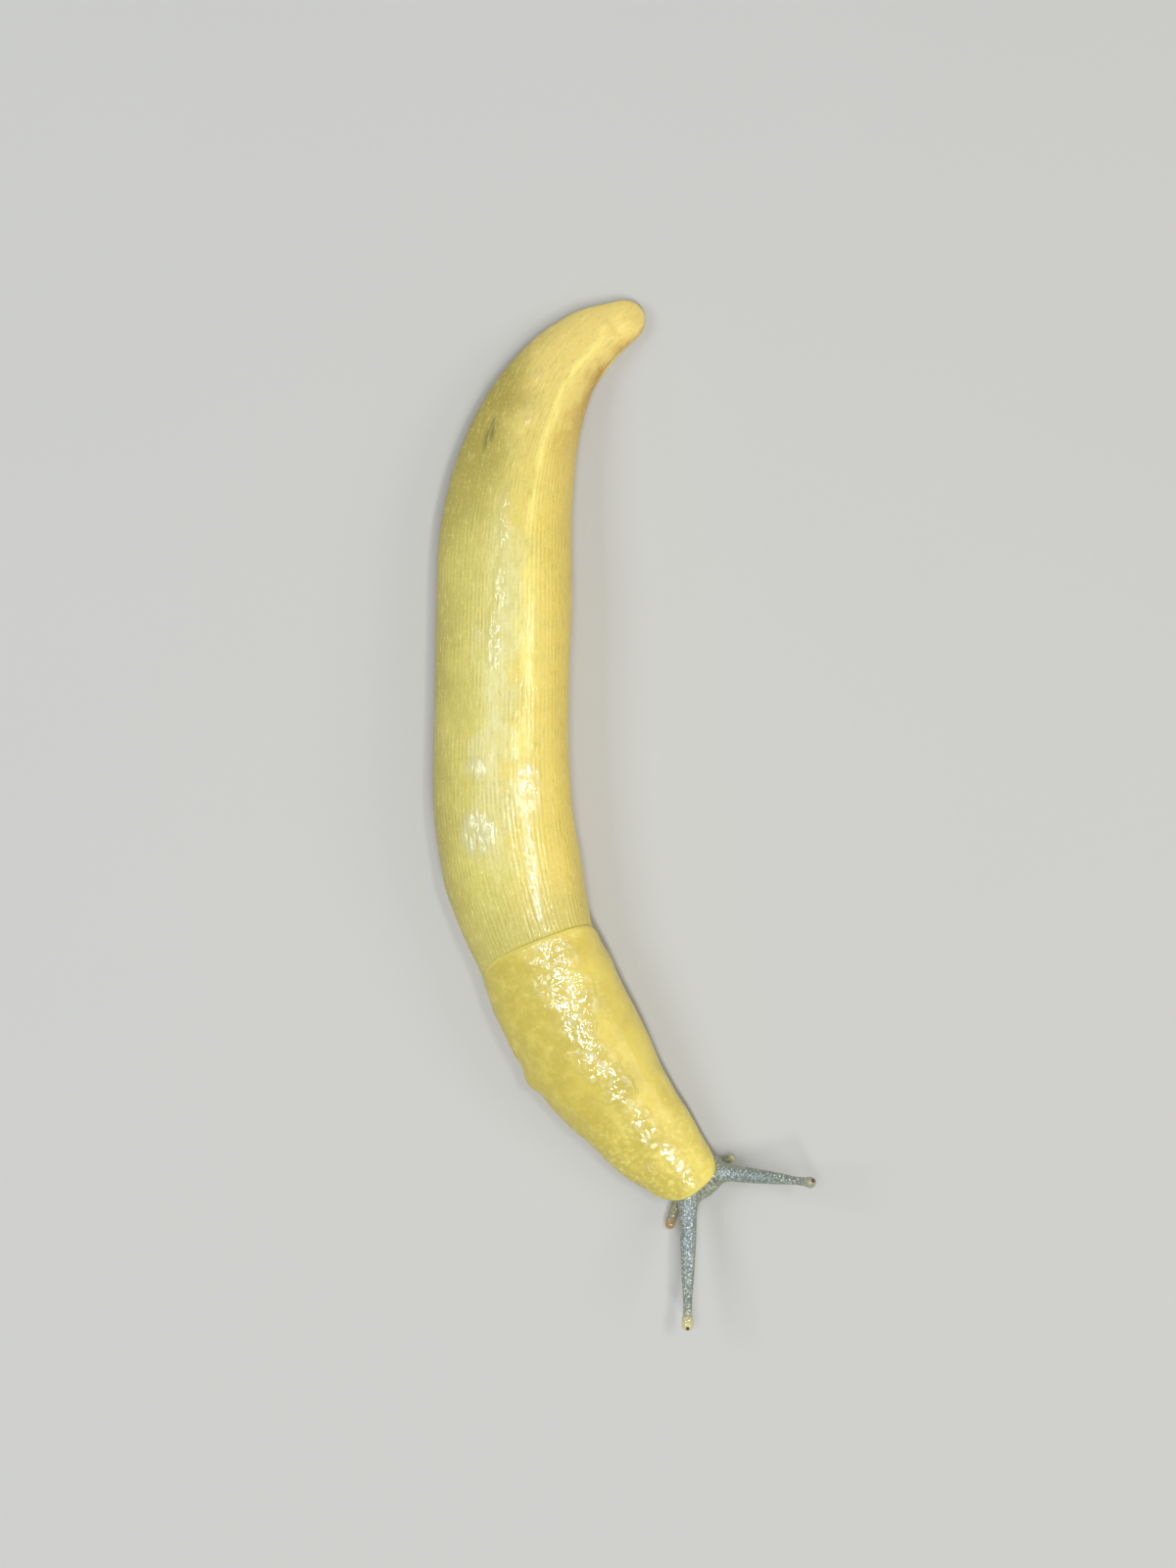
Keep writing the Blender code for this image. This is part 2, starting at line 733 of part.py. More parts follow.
def main():
    for old in list(bpy.data.objects):
        bpy.data.objects.remove(old)
    back_skin = material("back_skin", BACK_YELLOW, 0.38)
    mantle_skin = material("mantle_skin", MANTLE_YELLOW, 0.30)
    foot_skin = material("foot_skin", FOOT_YELLOW, 0.42)
    head_skin = material("head_skin", HEAD_GREY, 0.38)
    tentacle_skin = material("tentacle_skin", TENTACLE_GREY, 0.36)
    feeler_skin = material("feeler_skin", FEELER_TAN, 0.36)
    eye_skin = material("eye_skin", EYE_BROWN, 0.10)
    make_body(back_skin)
    make_foot(foot_skin)
    make_mantle(mantle_skin)
    make_head(head_skin)
    for side in TENTACLES:
        make_tentacle(side, tentacle_skin, eye_skin)
        make_feeler(side, feeler_skin)


main()
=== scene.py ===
# A life-size banana slug model, crawling in one long bend on a plain pale floor and seen from straight above.
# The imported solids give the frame. Skins with real relief take their place.
import math

import bmesh
import bpy
import numpy as np
from mathutils import Matrix, Vector


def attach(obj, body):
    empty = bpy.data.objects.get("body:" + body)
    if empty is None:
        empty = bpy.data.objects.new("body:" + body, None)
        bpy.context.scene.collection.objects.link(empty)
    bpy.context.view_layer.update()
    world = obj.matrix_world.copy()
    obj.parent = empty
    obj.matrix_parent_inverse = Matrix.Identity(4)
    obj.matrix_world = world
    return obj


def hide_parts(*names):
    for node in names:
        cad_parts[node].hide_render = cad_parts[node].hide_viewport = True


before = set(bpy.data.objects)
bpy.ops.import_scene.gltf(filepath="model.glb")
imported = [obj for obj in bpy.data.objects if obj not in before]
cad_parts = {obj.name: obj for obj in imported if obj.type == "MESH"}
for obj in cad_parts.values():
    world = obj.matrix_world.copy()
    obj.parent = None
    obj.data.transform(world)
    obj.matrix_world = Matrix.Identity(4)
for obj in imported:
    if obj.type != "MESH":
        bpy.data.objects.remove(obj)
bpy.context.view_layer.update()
print("frame loaded")

# The spine along the ground, from the tail tip to the head: heading 0 points to -Y, and a positive one to +X
spineShape = {
    "tailTip": (0.0034, 0.0975),
    "step": 0.0005,
    "length": 0.2,
    "headings": (
        (0.0, -67), (0.01, -58.5), (0.022, -33), (0.045, -10.0), (0.065, -0.9), (0.09, -1), (0.11, 6.5),
        (0.13, 19.2), (0.15, 27.5), (0.165, 35.5), (0.18, 42), (0.19, 47),
    ),
    "tailShifts": ((0.0, -0.0006), (0.003, -0.00052), (0.006, -0.00048), (0.0095, -0.00036), (0.014, 0.0)),
}

# The body's outline at distances from the tail tip
bodyShape = {
    "halfWidths": (
        (0.0, 0.0034), (0.003, 0.004), (0.006, 0.0048), (0.0095, 0.0058), (0.014, 0.0068),
        (0.019, 0.0078), (0.028, 0.0095), (0.036, 0.0108), (0.044, 0.0119), (0.054, 0.0128),
        (0.064, 0.0131), (0.088, 0.013), (0.106, 0.0134), (0.118, 0.0134), (0.127, 0.0126),
        (0.137, 0.0116), (0.144, 0.0121), (0.152, 0.0119), (0.16, 0.0115), (0.171, 0.0097),
        (0.18, 0.0083), (0.187, 0.0067), (0.192, 0.006),
    ),
    "crestHeights": (
        (0.0, 0.004), (0.005, 0.006), (0.01, 0.008), (0.02, 0.0111), (0.032, 0.014), (0.045, 0.0163),
        (0.06, 0.0177), (0.085, 0.0184), (0.11, 0.0185), (0.13, 0.0179), (0.145, 0.0176),
        (0.156, 0.0169), (0.166, 0.0151), (0.176, 0.0127), (0.185, 0.0109), (0.192, 0.0102),
    ),
    "topRoundness": (
        (0.0, 1.75), (0.012, 1.5), (0.035, 1.55), (0.07, 1.8), (0.11, 2.05), (0.19, 2.15),
    ),
    "crestLeans": (
        (0.0, 0.05), (0.012, 0.25), (0.04, 0.36), (0.08, 0.32), (0.12, 0.26), (0.145, 0.18),
        (0.19, 0.05),
    ),
    "widestLevel": 0.34,
    "leanPower": 1.5,
    "flankTuck": 35.0,
    "tailEnd": -0.0006,
    "tailEndRadius": 0.0036,
    "base": 0.00205,
}


def along(stations, places):  # a smooth line through the stations, read at the places
    at, values = np.array(stations, float).T
    steps = np.diff(values) / np.diff(at)
    turns = steps[:-1] * steps[1:] <= 0
    total = np.where(turns, 1, steps[:-1] + steps[1:])
    inner = np.where(turns, 0, 2 * steps[:-1] * steps[1:] / total)
    slopes = np.concatenate([steps[:1], inner, steps[-1:]])
    places = np.clip(places, at[0], at[-1])
    k = np.clip(np.searchsorted(at, places, side="right") - 1, 0, len(at) - 2)
    span = at[k + 1] - at[k]
    t = (places - at[k]) / span
    rise = values[k + 1] - values[k]
    bendIn = slopes[k] * span - rise
    bendOut = rise - slopes[k + 1] * span
    return values[k] + t * rise + t * (1 - t) * (bendIn * (1 - t) + bendOut * t)


def ramp(values, start, end):  # a smooth step from 0 at the start to 1 at the end
    t = np.clip((values - start) / (end - start), 0, 1)
    return t * t * (3 - 2 * t)


def bell(values, centre, reach):
    return np.exp(-(((values - centre) / reach) ** 2))


spinePlaces = np.arange(round(spineShape["length"] / spineShape["step"]) + 1) * spineShape["step"]
spineHeadings = np.radians(along(spineShape["headings"], spinePlaces[:-1] + spineShape["step"] / 2))


def summed(steps):
    return np.concatenate([[0], np.cumsum(steps)]) * spineShape["step"]


spineX = spineShape["tailTip"][0] + summed(np.sin(spineHeadings))
spineY = spineShape["tailTip"][1] - summed(np.cos(spineHeadings))


def stacked(*parts):  # points from their parts, each one a number or an array
    return np.stack(np.broadcast_arrays(*parts), axis=-1)


def onBody(places, across, heights):  # points from places along the spine, distances to its left, and heights
    headings = np.radians(along(spineShape["headings"], places))
    across = across + along(spineShape["tailShifts"], places)
    past = np.minimum(places, 0)
    x = np.interp(places, spinePlaces, spineX) + past * np.sin(headings) + across * np.cos(headings)
    y = np.interp(places, spinePlaces, spineY) - past * np.cos(headings) + across * np.sin(headings)
    return stacked(x, y, heights)


def sectionPoints(places, turns, halfWidths, crests, bases):  # turn 0 is the right side and pi / 2 the crest
    bellies = bases + bodyShape["widestLevel"] * (crests - bases)
    exponents = 2 / along(bodyShape["topRoundness"], places)
    up, side = np.sin(turns), np.cos(turns)
    rise = np.clip(up, 0, 1) ** exponents
    lean = along(bodyShape["crestLeans"], places) * rise ** bodyShape["leanPower"]
    topAcross = halfWidths * (lean - np.sign(side) * np.abs(side) ** exponents)
    lowHeights = bellies + (bellies - bases) * up / math.sin(math.radians(bodyShape["flankTuck"]))
    across = np.where(up < 0, -halfWidths * side, topAcross)
    return across, np.where(up < 0, lowHeights, bellies + (crests - bellies) * rise)


def outline(places):  # the body's half widths and crest heights
    return along(bodyShape["halfWidths"], places), along(bodyShape["crestHeights"], places)


def rounding(distances, radius):  # a quarter circle: 0 at an end, and 1 a radius in from it
    reach = 1 - np.clip(distances / radius, 0, 1)
    return np.sqrt(1 - reach * reach)


# Repeatable noise for relief, in the mesh itself
def hashed(cells, seed):
    x, y, z = (cells[..., k].astype(np.int64) for k in range(3))
    mixed = (x * 374761393 + y * 668265263 + z * 1440662683 + seed * 974711) & 0xFFFFFFFF
    mixed = ((mixed ^ (mixed >> 13)) * 1274126177) & 0xFFFFFFFF
    return ((mixed ^ (mixed >> 16)) & 0xFFFFFF) / 0xFFFFFF


def softNoise(points, size, seed):  # smooth noise from -1 to 1, with one bump about every size metres
    scaled = points / size
    cells = np.floor(scaled)
    t = scaled - cells
    t = t * t * t * (t * (t * 6 - 15) + 10)
    total = 0
    for corner in np.ndindex(2, 2, 2):
        weight = np.prod(np.where(np.array(corner) == 1, t, 1 - t), axis=-1)
        total = total + weight * hashed(cells + np.array(corner), seed)
    return total * 2 - 1


def noises(points, parts):  # several noises together: the size, seed and height of each
    return sum(height * softNoise(points, size, seed) for size, seed, height in parts)


def lengthOf(vectors):
    return np.linalg.norm(vectors, axis=-1)


def unit(vectors):
    return vectors / np.maximum(lengthOf(vectors)[..., None], 1e-12)


def gridNormals(points):
    return unit(np.cross(np.gradient(points, axis=0), np.gradient(points, axis=1)))


def closedRound(grid):  # repeats the first column after the last one
    return np.concatenate([grid, grid[:, :1]], axis=1)


def gridCorners(grid):  # the four corners of each cell of a grid, in order round the cell
    corners = [grid[:-1, :-1], grid[1:, :-1], grid[1:, 1:], grid[:-1, 1:]]
    return np.stack(corners, axis=2).reshape(-1, 4, *grid.shape[2:])


def addObject(name, data):
    made = bpy.data.objects.new(name, data)
    bpy.context.scene.collection.objects.link(made)
    return made


def addMesh(name, points, faces, uvs, marks=None):  # uvs has a pair for each corner of each face
    mesh = bpy.data.meshes.new(name)
    mesh.from_pydata(points.tolist(), [], faces)
    layer = mesh.uv_layers.new(name="OFBake")
    layer.data.foreach_set("uv", np.asarray(uvs, np.float32).ravel())
    for mark, values in (marks or {}).items():
        attribute = mesh.attributes.new(mark, "FLOAT", "POINT")
        attribute.data.foreach_set("value", values.astype(np.float32).ravel())
    mesh.shade_smooth()
    mesh.validate()
    return addObject(name, mesh)


def addTube(name, rings, marks=None):  # a closed skin: rows of points along it, and columns round it
    rows, columns = rings.shape[:2]
    index = np.arange(rows * columns).reshape(rows, columns)
    faces = gridCorners(closedRound(index)).tolist()
    u, v = np.meshgrid(np.linspace(0.01, 0.99, columns + 1), np.linspace(0.02, 0.98, rows))
    uvs = gridCorners(stacked(u, v)).reshape(-1, 2)
    turns = np.linspace(0, 2 * math.pi, columns, endpoint=False)
    caps = []
    for order, place in ((slice(None), 0.008), (slice(None, None, -1), 0.992)):
        faces.append(index[0 if place < 0.5 else -1, order].tolist())
        caps.append(stacked(0.5 + 0.4 * np.cos(turns), place + 0.006 * np.sin(turns))[order])
    return addMesh(name, rings.reshape(-1, 3), faces, np.concatenate([uvs, *caps]), marks)


# The mantle's outline and its place over the body, which keeps a shallow recess for it
mantleShape = {
    "rear": 0.133,
    "front": 0.1916,
    "thickness": 0.0012,
    "standsProud": 0.0004,
    "edge": 0.0013,
    "rearCurve": 0.01,
    "frontCurve": 0.0165,
    "edgePower": 2.5,
    "skew": 0.0014,
    "hang": 15.0,
    "corner": 0.96,
    "neckStart": 0.158,
    "neckEnd": 0.178,
}


def edgeDraw(shares, curve):
    power = mantleShape["edgePower"]
    return curve * (1 - (1 - np.abs(shares) ** power) ** (1 / power))


def mantleRear(shares):
    return mantleShape["rear"] + edgeDraw(shares, mantleShape["rearCurve"])


def mantleFront(shares):
    return mantleShape["front"] - edgeDraw(shares, mantleShape["frontCurve"]) + mantleShape["skew"] * shares


def behindMantle(places, turns):  # how far a place lies inside the mantle's rear edge, less than 0 behind it
    shares = np.abs(turns - math.pi / 2) / math.radians(90 + mantleShape["hang"])
    return places - mantleRear(np.minimum(shares, mantleShape["corner"])), shares


# The back and flanks: rows of long low tubercles between fine grooves
backSkin = {
    "rows": 276,
    "ridges": 58,
    "columnsPerRidge": 6,
    "underColumns": 6,
    "tipRows": 14,
    "tipReach": 0.0045,
    "end": 0.1815,
    "grooveDepths": ((0.0, 0.0), (0.02, 0.000008), (0.06, 0.00004), (0.105, 0.00005), (0.132, 0.0001)),
    "tubercleLengths": (0.0012, 0.003),
    "breakReach": 0.0005,
    "mergeWidths": (0.00075, 0.00045),
    "ridgePower": 0.7,
    "keelHeights": (
        (0.0055, 0.0), (0.008, 0.00022), (0.014, 0.0003), (0.035, 0.00036), (0.06, 0.00022),
        (0.09, 0.0),
    ),
    "keelShifts": ((0.006, -0.002), (0.0075, -0.0018), (0.009, -0.0008), (0.012, -0.0004), (0.019, 0.0)),
    "keelReach": 0.0009,
    # Noises: size, seed and height
    "keelBends": ((0.006, 17, 0.0004), (0.0022, 18, 0.0003)),
    "lumps": ((0.014, 21, 0.00016), (0.005, 22, 0.00005)),
    # Folds at the tail's end: place, girth from the crest, reach along, reach across, height
    "tailFolds": (
        (0.0076, -0.0018, 0.0008, 0.0008, 0.0003), (0.0056, 0.0002, 0.0008, 0.0022, -0.0004),
        (0.0028, 0.0005, 0.0017, 0.0008, 0.00034), (0.006, 0.0021, 0.0008, 0.0007, 0.00026),
    ),
    "recess": 0.0011,
    "recessFade": (-0.0003, 0.0012),
    "recessSides": (1.18, 1.08),
    "frontTaper": (0.176, 0.001),
    "wander": 0.45,
    "crestHighlightAside": 0.0004,
    "crestHighlightReaches": (
        (0.006, 0.0007), (0.017, 0.0012), (0.034, 0.0009), (0.045, 0.0008), (0.066, 0.002),
        (0.1, 0.0026),
    ),
    "crestHighlightStrengths": (
        (0.005, 0.0), (0.009, 0.8), (0.018, 1.0), (0.05, 0.9), (0.07, 0.7), (0.09, 0.6), (0.118, 0.3),
        (0.132, 0.1),
    ),
    # Where the skin is wettest: place, girth from the crest, reach along, reach across
    "wetSpots": (
        (0.104, 0.0011, 0.0062, 0.0024), (0.116, 0.0006, 0.008, 0.0013), (0.124, 0.0, 0.0085, 0.0009),
        (0.111, -0.0094, 0.0042, 0.0034), (0.099, -0.0092, 0.0022, 0.002),
        (0.074, -0.0062, 0.006, 0.0014), (0.064, -0.0052, 0.005, 0.0013),
        (0.05, -0.005, 0.0062, 0.0011), (0.03, -0.0044, 0.0022, 0.0012),
        (0.0225, -0.0056, 0.0012, 0.0012),
    ),
    "darkPatches": ((0.035, -0.0108, 0.0022, 0.0008), (0.0372, -0.0118, 0.002, 0.0006)),
}


def spots(places, girths, where):  # 1 at each listed spot of the skin, fading to 0 round it
    total = 0.0
    for place, girth, ahead, aside in where:
        square = ((places - place) / ahead) ** 2 + ((girths - girth) / aside) ** 2
        total = np.maximum(total, ramp(square, 1.7, 0.2))
    return total


def makeBack():
    s = backSkin
    start, reach = bodyShape["tailEnd"], s["tipReach"]
    tip = start + (reach - start) * (1 - np.cos(np.linspace(0.02, math.pi / 2, s["tipRows"], endpoint=False)))
    places = np.concatenate([tip, np.linspace(reach, s["end"], s["rows"] - s["tipRows"])])[:, None]
    tuck = math.radians(bodyShape["flankTuck"])
    turns = np.linspace(-tuck, math.pi + tuck, 361)[None, :]
    end = rounding(places - start, bodyShape["tailEndRadius"])
    byNeck = ramp(places, mantleShape["neckStart"], mantleShape["neckEnd"])

    def sections(turns):
        inside, shares = behindMantle(places, turns)
        across = np.maximum(ramp(shares, *s["recessSides"]), byNeck)
        depth = s["recess"] * ramp(inside, *s["recessFade"]) * across
        depth = depth + s["frontTaper"][1] * ramp(places, s["frontTaper"][0], s["end"])
        base = bodyShape["base"]
        halfWidths, crests = outline(places)
        crests = base + (crests - base) * end - depth
        return sectionPoints(places, turns, halfWidths * end - depth, crests, base)

    # Columns at even steps round each section, so that every groove runs along a column
    across, heights = sections(turns)
    steps = np.hypot(np.diff(across), np.diff(heights))
    girths = np.concatenate([np.zeros_like(places), np.cumsum(steps, axis=1)], axis=1)
    columns = s["ridges"] * s["columnsPerRidge"]
    shares = np.linspace(0, 1, columns + 1)
    wander = softNoise(stacked(places / 0.03, shares * 9, 0.5), 1.0, 3)
    wander *= ramp(shares, 0, 0.1) * ramp(shares, 1, 0.9) * s["wander"] / s["ridges"]
    turnsAt = np.array([np.interp((shares + w) * g[-1], g, turns[0]) for g, w in zip(girths, wander)])
    crestGirths = np.array([np.interp(math.pi / 2, turns[0], g) for g in girths])[:, None]
    girthsAt = shares * girths[:, -1:] - crestGirths
    points = onBody(places, *sections(turnsAt))
    normals = gridNormals(points)

    # Relief
    ridge = np.arange(columns + 1) // s["columnsPerRidge"]
    within = (np.arange(columns + 1) % s["columnsPerRidge"]) / s["columnsPerRidge"]
    profile = np.sin(math.pi * within) ** s["ridgePower"]
    paired = np.sin(math.pi * (within + ridge % 2) / 2) ** s["ridgePower"]
    merged = ramp(girths[:, -1:] / s["ridges"], *s["mergeWidths"])
    profile = profile * (1 - merged) + paired * merged
    rowOf = stacked(ridge, 0, 0)
    shortest, longest = s["tubercleLengths"]
    lengths = shortest + (longest - shortest) * hashed(rowOf, 11)
    steps = places / lengths + hashed(rowOf, 12) * 7
    steps = steps + 0.3 * softNoise(stacked(places / 0.005, ridge * 3.7, 0.5), 1.0, 13)
    nearest = np.round(steps)
    cellOf = stacked(nearest, ridge, 0)
    broken = bell((steps - nearest) * lengths, 0, s["breakReach"]) * (0.25 + 0.75 * hashed(cellOf, 14))
    depths = along(s["grooveDepths"], places) * (0.75 + 0.5 * ramp(np.abs(girthsAt), 0.006, 0.016))
    fading = 0.35 + 0.65 * ramp(softNoise(points * [1, 0.4, 1], 0.0042, 16), -0.5, 0.4)
    tops = 0.6 + 0.8 * hashed(cellOf + np.array([0.0, 0, 5]), 15)
    relief = depths * fading * (profile * (1 - 0.85 * broken) * tops - 0.7)
    alongOnly = stacked(places, 0, 0)
    bend = noises(alongOnly, s["keelBends"]) + along(s["keelShifts"], places)
    tall = 0.65 + 0.5 * softNoise(alongOnly, 0.0032, 19)
    keel = tall * along(s["keelHeights"], places) * bell(girthsAt - bend, 0, s["keelReach"])
    for place, girth, ahead, aside, height in s["tailFolds"]:
        keel = keel + height * bell(places, place, ahead) * bell(girthsAt, girth, aside)
    lumps = noises(points, s["lumps"])
    outside = 1 - ramp(behindMantle(places, turnsAt)[0], 0.0, 0.002)
    groove = np.clip(1 - profile, 0, 1) * fading
    points = points + normals * ((relief + keel + lumps * end) * outside * end)[..., None]

    # The underside, above the foot
    t = np.linspace(0, 1, s["underColumns"] + 2)[1:-1, None]
    under = points[:, -1:] * (1 - t) + points[:, :1] * t
    rings = np.concatenate([points, under], axis=1)
    # Painted highlight: a pale line along the keel and the crest, carried by the crest mark
    crestHighlightLine = bell(girthsAt - bend - s["crestHighlightAside"], 0, along(s["crestHighlightReaches"], places))
    marks = {"place": np.broadcast_to(places, rings.shape[:2])}
    upper = {
        "groove": groove,
        "girth": girthsAt,
        "crest": crestHighlightLine * along(s["crestHighlightStrengths"], places),
        "wet": spots(places, girthsAt, s["wetSpots"]),
        "darkPatch": spots(places, girthsAt, s["darkPatches"]),
    }
    for mark, grid in upper.items():
        marks[mark] = np.pad(np.broadcast_to(grid, points.shape[:2]), ((0, 0), (0, s["underColumns"])))
    return addTube("back_skin_mesh", rings, marks)


back = makeBack()
print("back", len(back.data.polygons))


# The foot: a flat sole, and a fringe with fine upright grooves below the flanks
footSkin = {
    "start": -0.0006,
    "end": 0.1918,
    "frontRadius": 0.0042,
    "inset": 0.00004,
    "thickness": 0.0021,
    "rowSpacing": 0.0002,
    "groovePitch": 0.00095,
    "grooveDepth": 0.00009,
    "waveHeight": 0.00022,
    "halfWidths": (
        (0.0, 0.0034), (0.003, 0.004), (0.006, 0.0048), (0.01, 0.006), (0.02, 0.0077), (0.032, 0.0093),
        (0.045, 0.0105), (0.06, 0.0113), (0.106, 0.0117), (0.13, 0.0108), (0.15, 0.0104),
        (0.165, 0.009), (0.178, 0.007), (0.19, 0.0057),
    ),
    "headShifts": ((0.178, 0.0), (0.184, 0.0002), (0.194, 0.0015)),
    # How far in from the edge, and how high as a share of the thickness
    "fringe": (
        (0.004, 0.0), (0.0018, 0.0), (0.0009, 0.0), (0.0005, 0.02), (0.00022, 0.1), (0.00006, 0.22),
        (0.0, 0.36), (0.00003, 0.5), (0.00016, 0.64), (0.0004, 0.77), (0.0008, 0.88), (0.0013, 0.96),
        (0.003, 1.0),
    ),
}


def makeFoot():
    s = footSkin
    length = s["end"] - s["start"]
    shares = np.linspace(0, 1, round(length / s["rowSpacing"]))[:, None]
    places = s["start"] + s["inset"] + (length - 2 * s["inset"]) * shares
    end = rounding(places - s["start"], bodyShape["tailEndRadius"])
    end = end * rounding(s["end"] - places, s["frontRadius"])
    widths = along(s["halfWidths"], places)
    insets, levels = np.array(s["fringe"]).T
    upright = np.interp(levels, [0.0, 0.12, 0.6, 0.95], [0, 1, 1, 0])
    sides = []
    for side in (1, -1):
        byEdge = stacked(places, side, 0)
        grooves = places / s["groovePitch"] + 0.25 * side + 0.35 * softNoise(byEdge, 0.004, 31)
        cut = np.abs(np.sin(math.pi * grooves)) ** 0.6
        wave = softNoise(byEdge, 0.011, 32) * s["waveHeight"]
        inset = insets / widths + (s["grooveDepth"] * (1 - cut) * upright - wave * upright) / widths
        sides.append(side * widths * (1 - inset) * end)
    across = np.concatenate([sides[1], sides[0][:, ::-1]], axis=1) + along(s["headShifts"], places)
    heights = np.concatenate([levels, levels[::-1]])[None, :] * s["thickness"] * np.ones_like(places)
    heights *= np.where(heights > 0, 0.25 + 0.75 * end, 1)
    points = onBody(places, across, heights)
    return addTube("foot_skin_mesh", points, {"level": heights / s["thickness"]})


foot = makeFoot()
print("foot", len(foot.data.polygons))


# The mantle: smooth wet skin, finely wrinkled, with a rounded free edge, the pore and the lobe before it
mantleSkin = {
    "rows": 260,
    "columns": 168,
    "wrinkle": 0.000018,
    "wetWaves": 0.000045,
    "fineWaves": 0.000018,
    "swells": ((0.0034, 44, 0.00012), (0.0095, 45, 0.00016)),  # noises: size, seed and height
    "girthRadius": 0.012,
    "rimHeight": 0.00005,
    "rimDip": 0.00003,
    "pore": {
        "place": 0.1505, "angle": 6.0, "rim": 0.0003,
        "reach": 0.0032, "length": 0.0013, "width": 0.0007, "depth": 0.00085,
    },
    "cleft": {"depth": 0.00022, "width": 0.00035},
    # Where the skin is wettest and most wrinkled: place, girth from the crest, reach along, reach across
    "wetSpots": (
        (0.1365, 0.0002, 0.005, 0.0046), (0.143, -0.0008, 0.007, 0.0042), (0.146, 0.003, 0.0046, 0.002),
        (0.151, -0.001, 0.007, 0.0034), (0.1585, -0.0012, 0.007, 0.0032),
        (0.165, -0.0004, 0.006, 0.003), (0.1715, 0.0002, 0.006, 0.0026),
        (0.1775, -0.0004, 0.0052, 0.0028), (0.183, 0.0006, 0.004, 0.0026),
        (0.188, -0.0012, 0.0028, 0.003), (0.1818, -0.007, 0.0016, 0.0014),
    ),
    "lobe": {"place": 0.1568, "angle": 0.0, "height": 0.0009, "behind": 0.0036, "ahead": 0.0026},
}


def clustered(start, end, count):  # closer together at both ends
    even = np.linspace(0, 1, count)
    return start + (end - start) * (0.55 * even + 0.45 * (0.5 - 0.5 * np.cos(math.pi * even)))


def makeMantle():
    s, m = mantleSkin, mantleShape
    shares = clustered(-1, 1, s["columns"])[None, :]
    mix = clustered(0, 1, s["rows"])[:, None]
    places = mantleRear(shares) + (mantleFront(shares) - mantleRear(shares)) * mix
    turns = math.pi / 2 + shares * math.radians(90 + m["hang"])
    pore, lobe = s["pore"], s["lobe"]
    halfWidth, crest = outline(pore["place"])
    halfGirth = crest / 2 + halfWidth
    fromRear, fromFront = places - mantleRear(shares), mantleFront(shares) - places
    toEdge = np.minimum(fromRear, fromFront)
    thick = rounding((1 - np.abs(shares)) * halfGirth, m["edge"]) * rounding(toEdge, m["edge"])
    drop = m["thickness"] * (1 - thick) / 2

    def reachOf(spot, behind, ahead):
        girth = (turns - math.radians(spot["angle"])) * outline(spot["place"])[0]
        return (places - spot["place"]) / np.where(places > spot["place"], ahead, behind), girth

    forward, girth = reachOf(pore, pore["reach"], pore["reach"])
    bump = pore["rim"] * np.exp(-2 * (forward**2 + (girth / pore["reach"]) ** 2))
    forward, girth = reachOf(lobe, lobe["behind"], lobe["ahead"])
    bump = bump + lobe["height"] * np.exp(-2 * (forward**2 + (girth / lobe["behind"]) ** 2))

    def surface(drops, bumps):
        outward = m["standsProud"] - drops + bumps
        halfWidths, crests = (sizes + outward for sizes in outline(places))
        return onBody(places, *sectionPoints(places, turns, halfWidths, crests, bodyShape["base"]))

    outer = surface(drop, bump)
    inner = surface(m["thickness"] - drop, bump * 0.2)
    normals = gridNormals(outer)

    girths = (turns - math.pi / 2) * s["girthRadius"] * np.ones_like(places)
    ahead = places + 0.0012 * softNoise(outer, 0.0026, 46)
    aside = girths + 0.001 * softNoise(outer, 0.0022, 47)
    wet = spots(ahead, aside, s["wetSpots"])
    network = 1 - 2 * np.abs(softNoise(outer, 0.0011, 41)) - np.abs(softNoise(outer, 0.0019, 42))
    relief = s["wrinkle"] * network + s["wetWaves"] * wet * softNoise(outer, 0.00105, 43)
    relief += s["fineWaves"] * wet * softNoise(outer, 0.00062, 48)
    relief += noises(outer, s["swells"])
    sideIn = (1 - np.abs(shares)) * halfGirth
    rimIn = np.minimum(toEdge, sideIn)
    relief += s["rimHeight"] * bell(rimIn, 0.001, 0.0006) - s["rimDip"] * bell(rimIn, 0.0025, 0.0008)

    forward, girth = reachOf(pore, 1.0, 1.0)
    hole = ramp(np.hypot(forward / pore["length"], girth / pore["width"]), 1.25, 0.55)
    below = ramp(turns, math.radians(pore["angle"]) + 0.02, math.radians(pore["angle"]) - 0.02)
    cleftLine = bell(forward, -0.0006 * below, s["cleft"]["width"]) * below
    relief -= pore["depth"] * hole + s["cleft"]["depth"] * cleftLine * (1 - hole)
    outer = outer + normals * (relief * ramp(thick, 0.0, 0.8))[..., None]

    rows, columns = outer.shape[:2]
    top = np.arange(rows * columns).reshape(rows, columns)
    bottom = top.copy()
    bottom[1:-1, 1:-1] = rows * columns + np.arange((rows - 2) * (columns - 2)).reshape(rows - 2, columns - 2)
    points = np.concatenate([outer.reshape(-1, 3), inner[1:-1, 1:-1].reshape(-1, 3)])
    faces = np.concatenate([gridCorners(top), gridCorners(bottom)[:, ::-1]])
    u, v = np.meshgrid(np.linspace(0, 1, columns), np.linspace(0, 1, rows))
    upper = gridCorners(stacked(0.01 + 0.78 * u, 0.01 + 0.98 * v))
    lower = gridCorners(stacked(0.81 + 0.18 * u, 0.01 + 0.98 * v))[:, ::-1]
    marks = {}
    for mark, grid in (("edge", rimIn), ("hole", hole), ("girth", girths), ("place", places), ("wet", wet)):
        marks[mark] = np.concatenate([grid.ravel(), grid[1:-1, 1:-1].ravel()])
    uvs = np.concatenate([upper, lower]).reshape(-1, 2)
    return addMesh("mantle_skin_mesh", points, faces.tolist(), uvs, marks)


mantle = makeMantle()
print("mantle", len(mantle.data.polygons))


